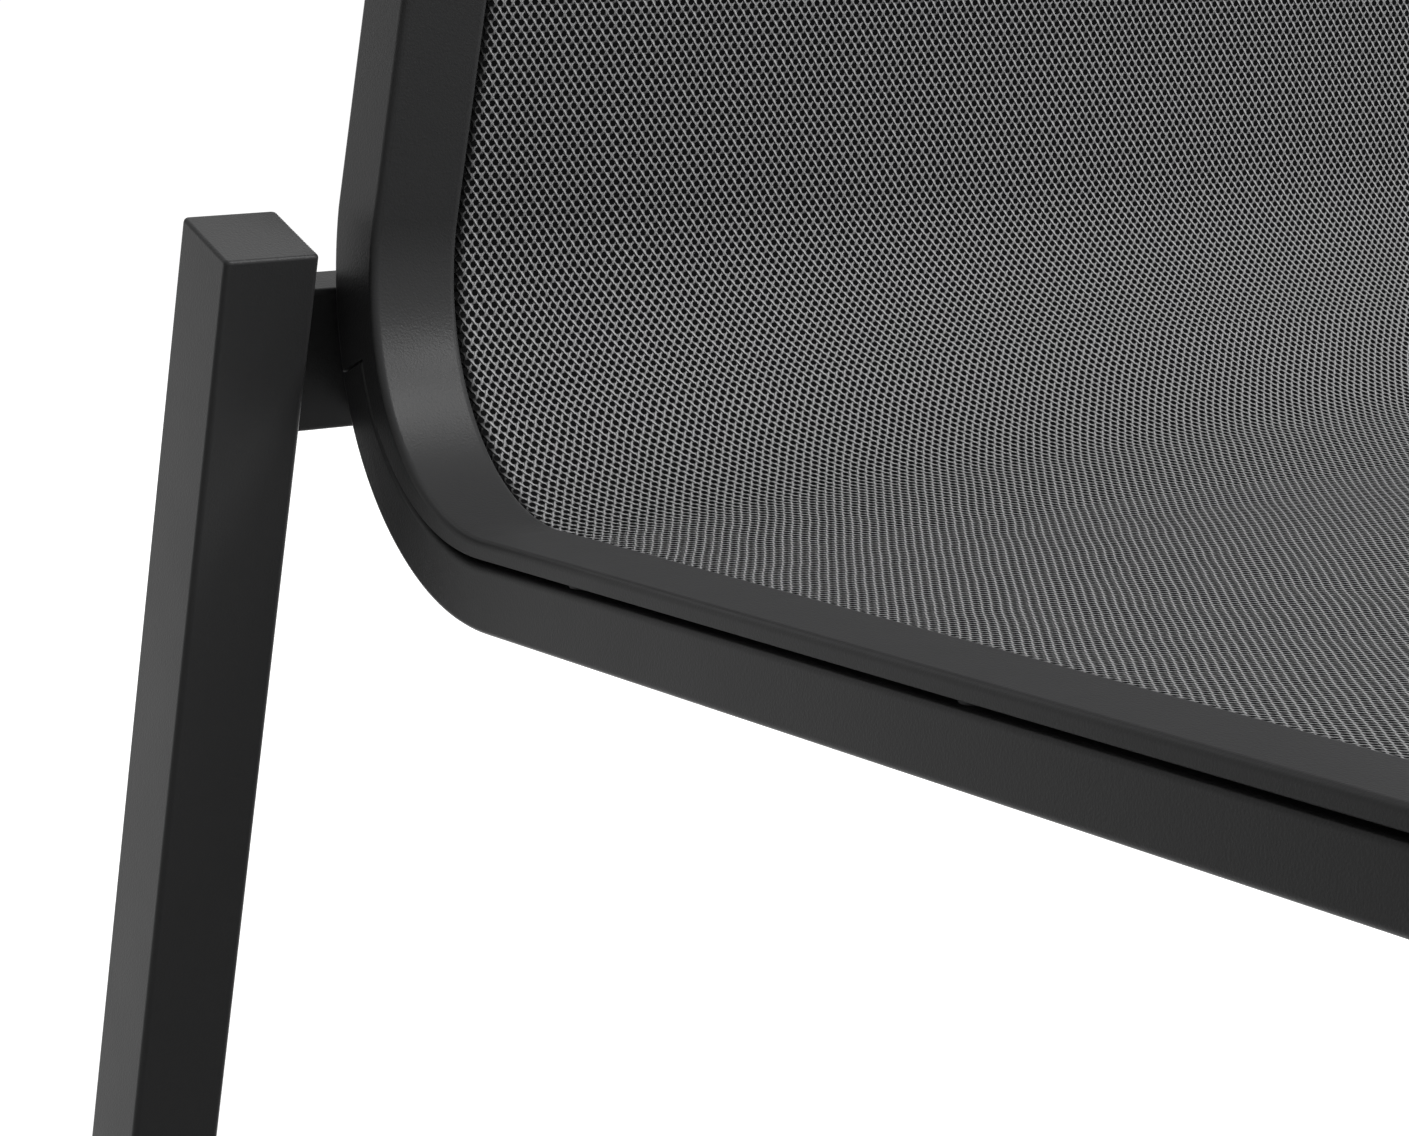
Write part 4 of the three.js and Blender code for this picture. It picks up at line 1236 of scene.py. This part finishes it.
class MakeBase(bpy.types.Operator):
    """Model the legs, glides, crossbars and saddles"""
    bl_idname = "chair.make_base"
    bl_label = "Legs, crossbars and glides"

    def execute(self, context):
        load_sizes()
        for end in ("rear", "front"):
            line = LegLine(end)
            finish_pair(make_leg(line), f"{end}_leg", "charcoal_frame")
            finish_pair(make_glide(line), f"{end}_foot_glide", "black_plastic")
            finish(make_crossbar(line), f"{end}_crossbar", "charcoal_frame")
        finish_pair(make_saddle(LegLine("rear")), "rear_saddle", "charcoal_frame")
        return {"FINISHED"}


class MakeSpreaders(bpy.types.Operator):
    """Model the spreader bars and the caps in the rail and tube ends"""
    bl_idname = "chair.make_spreaders"
    bl_label = "Spreader bars and caps"

    def execute(self, context):
        load_sizes()
        for node, (along, bow) in spreaders().items():
            finish(make_spreader(along, bow), node, "charcoal_frame")
        finish_pair(make_rail_top_cap(), "rail_top_cap", "black_plastic")
        finish_pair(make_rail_front_cap(), "rail_front_cap", "black_plastic")
        finish_pair(make_side_tube_cap(), "side_tube_cap", "black_plastic")
        return {"FINISHED"}


class MakeSling(bpy.types.Operator):
    """Lay the mesh sling between the rails and put the rods in its sleeves"""
    bl_idname = "chair.make_sling"
    bl_label = "Sling and rods"

    def execute(self, context):
        load_sizes()
        piece, flat, area = make_sling()
        hand_over(piece, "sling", "sling_mesh")
        finish_pair(make_rod(), "keder_rod", "black_plastic")
        return {"FINISHED"}


class MakeFasteners(bpy.types.Operator):
    """Model the bolts, washers and screws"""
    bl_idname = "chair.make_fasteners"
    bl_label = "Bolts, washers and screws"

    def execute(self, context):
        load_sizes()
        for number, portion in enumerate(SEAT_BOLT_SHARES, 1):
            along = rail_front() * portion
            bolt, washer = make_seat_bolt(along), make_seat_washer(along)
            finish_pair(bolt, f"seat_bolt_{number}", "dark_hardware")
            finish_pair(washer, f"seat_washer_{number}", "black_plastic")
        for number, portion in enumerate(REAR_BOLT_SHARES, 1):
            finish_pair(make_rear_bolt(LegLine("rear"), portion), f"rear_bolt_{number}", "dark_hardware")
        for node, (along, _) in spreaders().items():
            finish_pair(make_spreader_screw(along), f"{node}_screw", "dark_hardware")
        return {"FINISHED"}


# Floor, world, lights and camera

FLOOR_SIZE = 40
GLOW_RISES = (0.7, 2.2)
GLOW_AT_CHAIR = 0.8
AIM = (0, 0, 0.45)
LIGHTS = {
    "key": ((1.1, -1.5, 1.9), (0.6, 0.5)),
    "right": ((1.9, -0.75, 1.35), (0.9, 0.9)),
    "side": ((-1.3, 1.0, 0.5), (0.9, 0.9)),
    "rear": ((1.5, 1.6, 1.15), (0.8, 0.8)),
    "top": ((0.5, -0.75, 2.4), (1.0, 1.0)),
}
SENSOR_WIDTH = 36
CAMERA_FROM_LEG_TOP = Vector((-355.31, -829.78, 142.17)) * MM


def blank_nodes(owner):
    """The emptied node tree of a material or world"""
    owner.use_nodes = True
    owner.node_tree.nodes.clear()
    return owner.node_tree


def white_to_sight(tree, dim, bright):
    """Mixes a bright shader, which sight, gloss and glass see, over the one that lights the object"""
    path = add_node(tree, "ShaderNodeLightPath").outputs
    seen = maths(tree, "MAXIMUM", path["Is Camera Ray"], path["Is Glossy Ray"])
    seen = maths(tree, "MAXIMUM", seen, path["Is Transmission Ray"])
    return add_node(tree, "ShaderNodeMixShader", {0: seen, 1: dim, 2: bright}).outputs[0]


def floor_material():
    """Plain floor that keeps the shadow and whitens away from the chair"""
    material = bpy.data.materials.new("Pale floor")
    tree = blank_nodes(material)
    plain = add_node(tree, "ShaderNodeBsdfDiffuse", {"Color": paint.floor}).outputs[0]
    place = add_node(tree, "ShaderNodeTexCoord").outputs["Object"]
    away = add_node(tree, "ShaderNodeVectorMath", {0: place}, operation="LENGTH").outputs["Value"]
    near_edge, far_edge = GLOW_RISES
    whiter = add_node(tree, "ShaderNodeMapRange", {"Value": away, "From Min": near_edge, "From Max": far_edge,
                                                   "To Min": GLOW_AT_CHAIR, "To Max": 1.0}).outputs[0]
    glow = add_node(tree, "ShaderNodeEmission", {"Color": WHITE, "Strength": whiter}).outputs[0]
    both = add_node(tree, "ShaderNodeAddShader", {0: plain, 1: glow}).outputs[0]
    add_node(tree, "ShaderNodeOutputMaterial", {"Surface": white_to_sight(tree, plain, both)})
    return material


def add_world(ambient):
    world = bpy.data.worlds.new("Studio")
    bpy.context.scene.world = world
    tree = blank_nodes(world)
    soft, white = (add_node(tree, "ShaderNodeBackground", {"Color": WHITE, "Strength": level}).outputs[0]
                   for level in (ambient, 1.0))
    add_node(tree, "ShaderNodeOutputWorld", {"Surface": white_to_sight(tree, soft, white)})


def add_area_light(name, place, size, watts):
    data = bpy.data.lights.new(name, "AREA")
    data.shape = "RECTANGLE"
    data.size, data.size_y = size
    data.energy = watts
    lamp = bpy.data.objects.new(name, data)
    bpy.context.scene.collection.objects.link(lamp)
    lamp.location = place
    lamp.visible_camera = False
    lamp.rotation_mode = "QUATERNION"
    lamp.rotation_quaternion = (Vector(AIM) - Vector(place)).to_track_quat("-Z", "Y")


def add_camera(stage):
    """The photograph's view, given from the rear leg's top corner"""
    data = bpy.data.cameras.new("Camera")
    data.lens = stage.lens
    data.sensor_width = SENSOR_WIDTH
    data.sensor_fit = "HORIZONTAL"
    camera = bpy.data.objects.new("Camera", data)
    bpy.context.scene.collection.objects.link(camera)
    heading, pitch, roll = stage.heading, stage.pitch, stage.roll
    ahead = Vector((math.sin(heading) * math.cos(pitch), math.cos(heading) * math.cos(pitch),
                    -math.sin(pitch)))
    level = Vector((math.cos(heading), -math.sin(heading), 0))
    below = ahead.cross(level)
    right = math.cos(roll) * level + math.sin(roll) * below
    down = -math.sin(roll) * level + math.cos(roll) * below
    turn = Matrix((right, -down, -ahead)).transposed()
    location = LegLine("rear").corner + CAMERA_FROM_LEG_TOP
    camera.matrix_world = Matrix.Translation(location) @ turn.to_4x4()
    bpy.context.scene.camera = camera


class MakeStage(bpy.types.Operator):
    """Set the floor, the lights and the camera"""
    bl_idname = "chair.make_stage"
    bl_label = "Floor, lights and camera"

    def execute(self, context):
        load_sizes()
        stage = context.scene.chair_stage
        floor = add("pale_floor", bpy.ops.mesh.primitive_plane_add, size=FLOOR_SIZE)
        floor.data.materials.append(floor_material())
        add_world(stage.ambient)
        for name, (place, size) in LIGHTS.items():
            add_area_light(f"{name.title()} softbox", place, size, getattr(stage, f"{name}_strength"))
        add_camera(stage)
        context.scene.view_settings.view_transform = "Standard"
        return {"FINISHED"}


class ChairPanel(bpy.types.Panel):
    """Lists the makers and the sizes of the chair"""
    bl_idname = "VIEW3D_PT_chair"
    bl_label = "Sling patio chair"
    bl_space_type = "VIEW_3D"
    bl_region_type = "UI"
    bl_category = "Chair"

    def draw(self, context):
        for maker in MAKERS:
            self.layout.operator(maker.bl_idname)
        for name in SETTINGS:
            settings = getattr(context.scene, name)
            box = self.layout.box()
            for key in settings.__annotations__:
                box.prop(settings, key)


MAKERS = (MakeSlingRails, MakeBase, MakeSpreaders, MakeSling, MakeFasteners, MakeStage)
SETTINGS = {
    "chair_rail": RailSizes,
    "chair_leg": LegSizes,
    "chair_sling": SlingSizes,
    "chair_colours": ChairColours,
    "chair_stage": StageSizes,
}
CLASSES = (*SETTINGS.values(), *MAKERS, ChairPanel)


def register():
    for kind in CLASSES:
        bpy.utils.register_class(kind)
    for name, kind in SETTINGS.items():
        setattr(bpy.types.Scene, name, PointerProperty(type=kind))


def unregister():
    for name in SETTINGS:
        delattr(bpy.types.Scene, name)
    for kind in reversed(CLASSES):
        bpy.utils.unregister_class(kind)


def main():
    register()
    bpy.ops.chair.make_sling_rails()
    bpy.ops.chair.make_base()
    bpy.ops.chair.make_spreaders()
    bpy.ops.chair.make_sling()
    bpy.ops.chair.make_fasteners()
    bpy.ops.chair.make_stage()


if __name__ == "__main__":
    main()
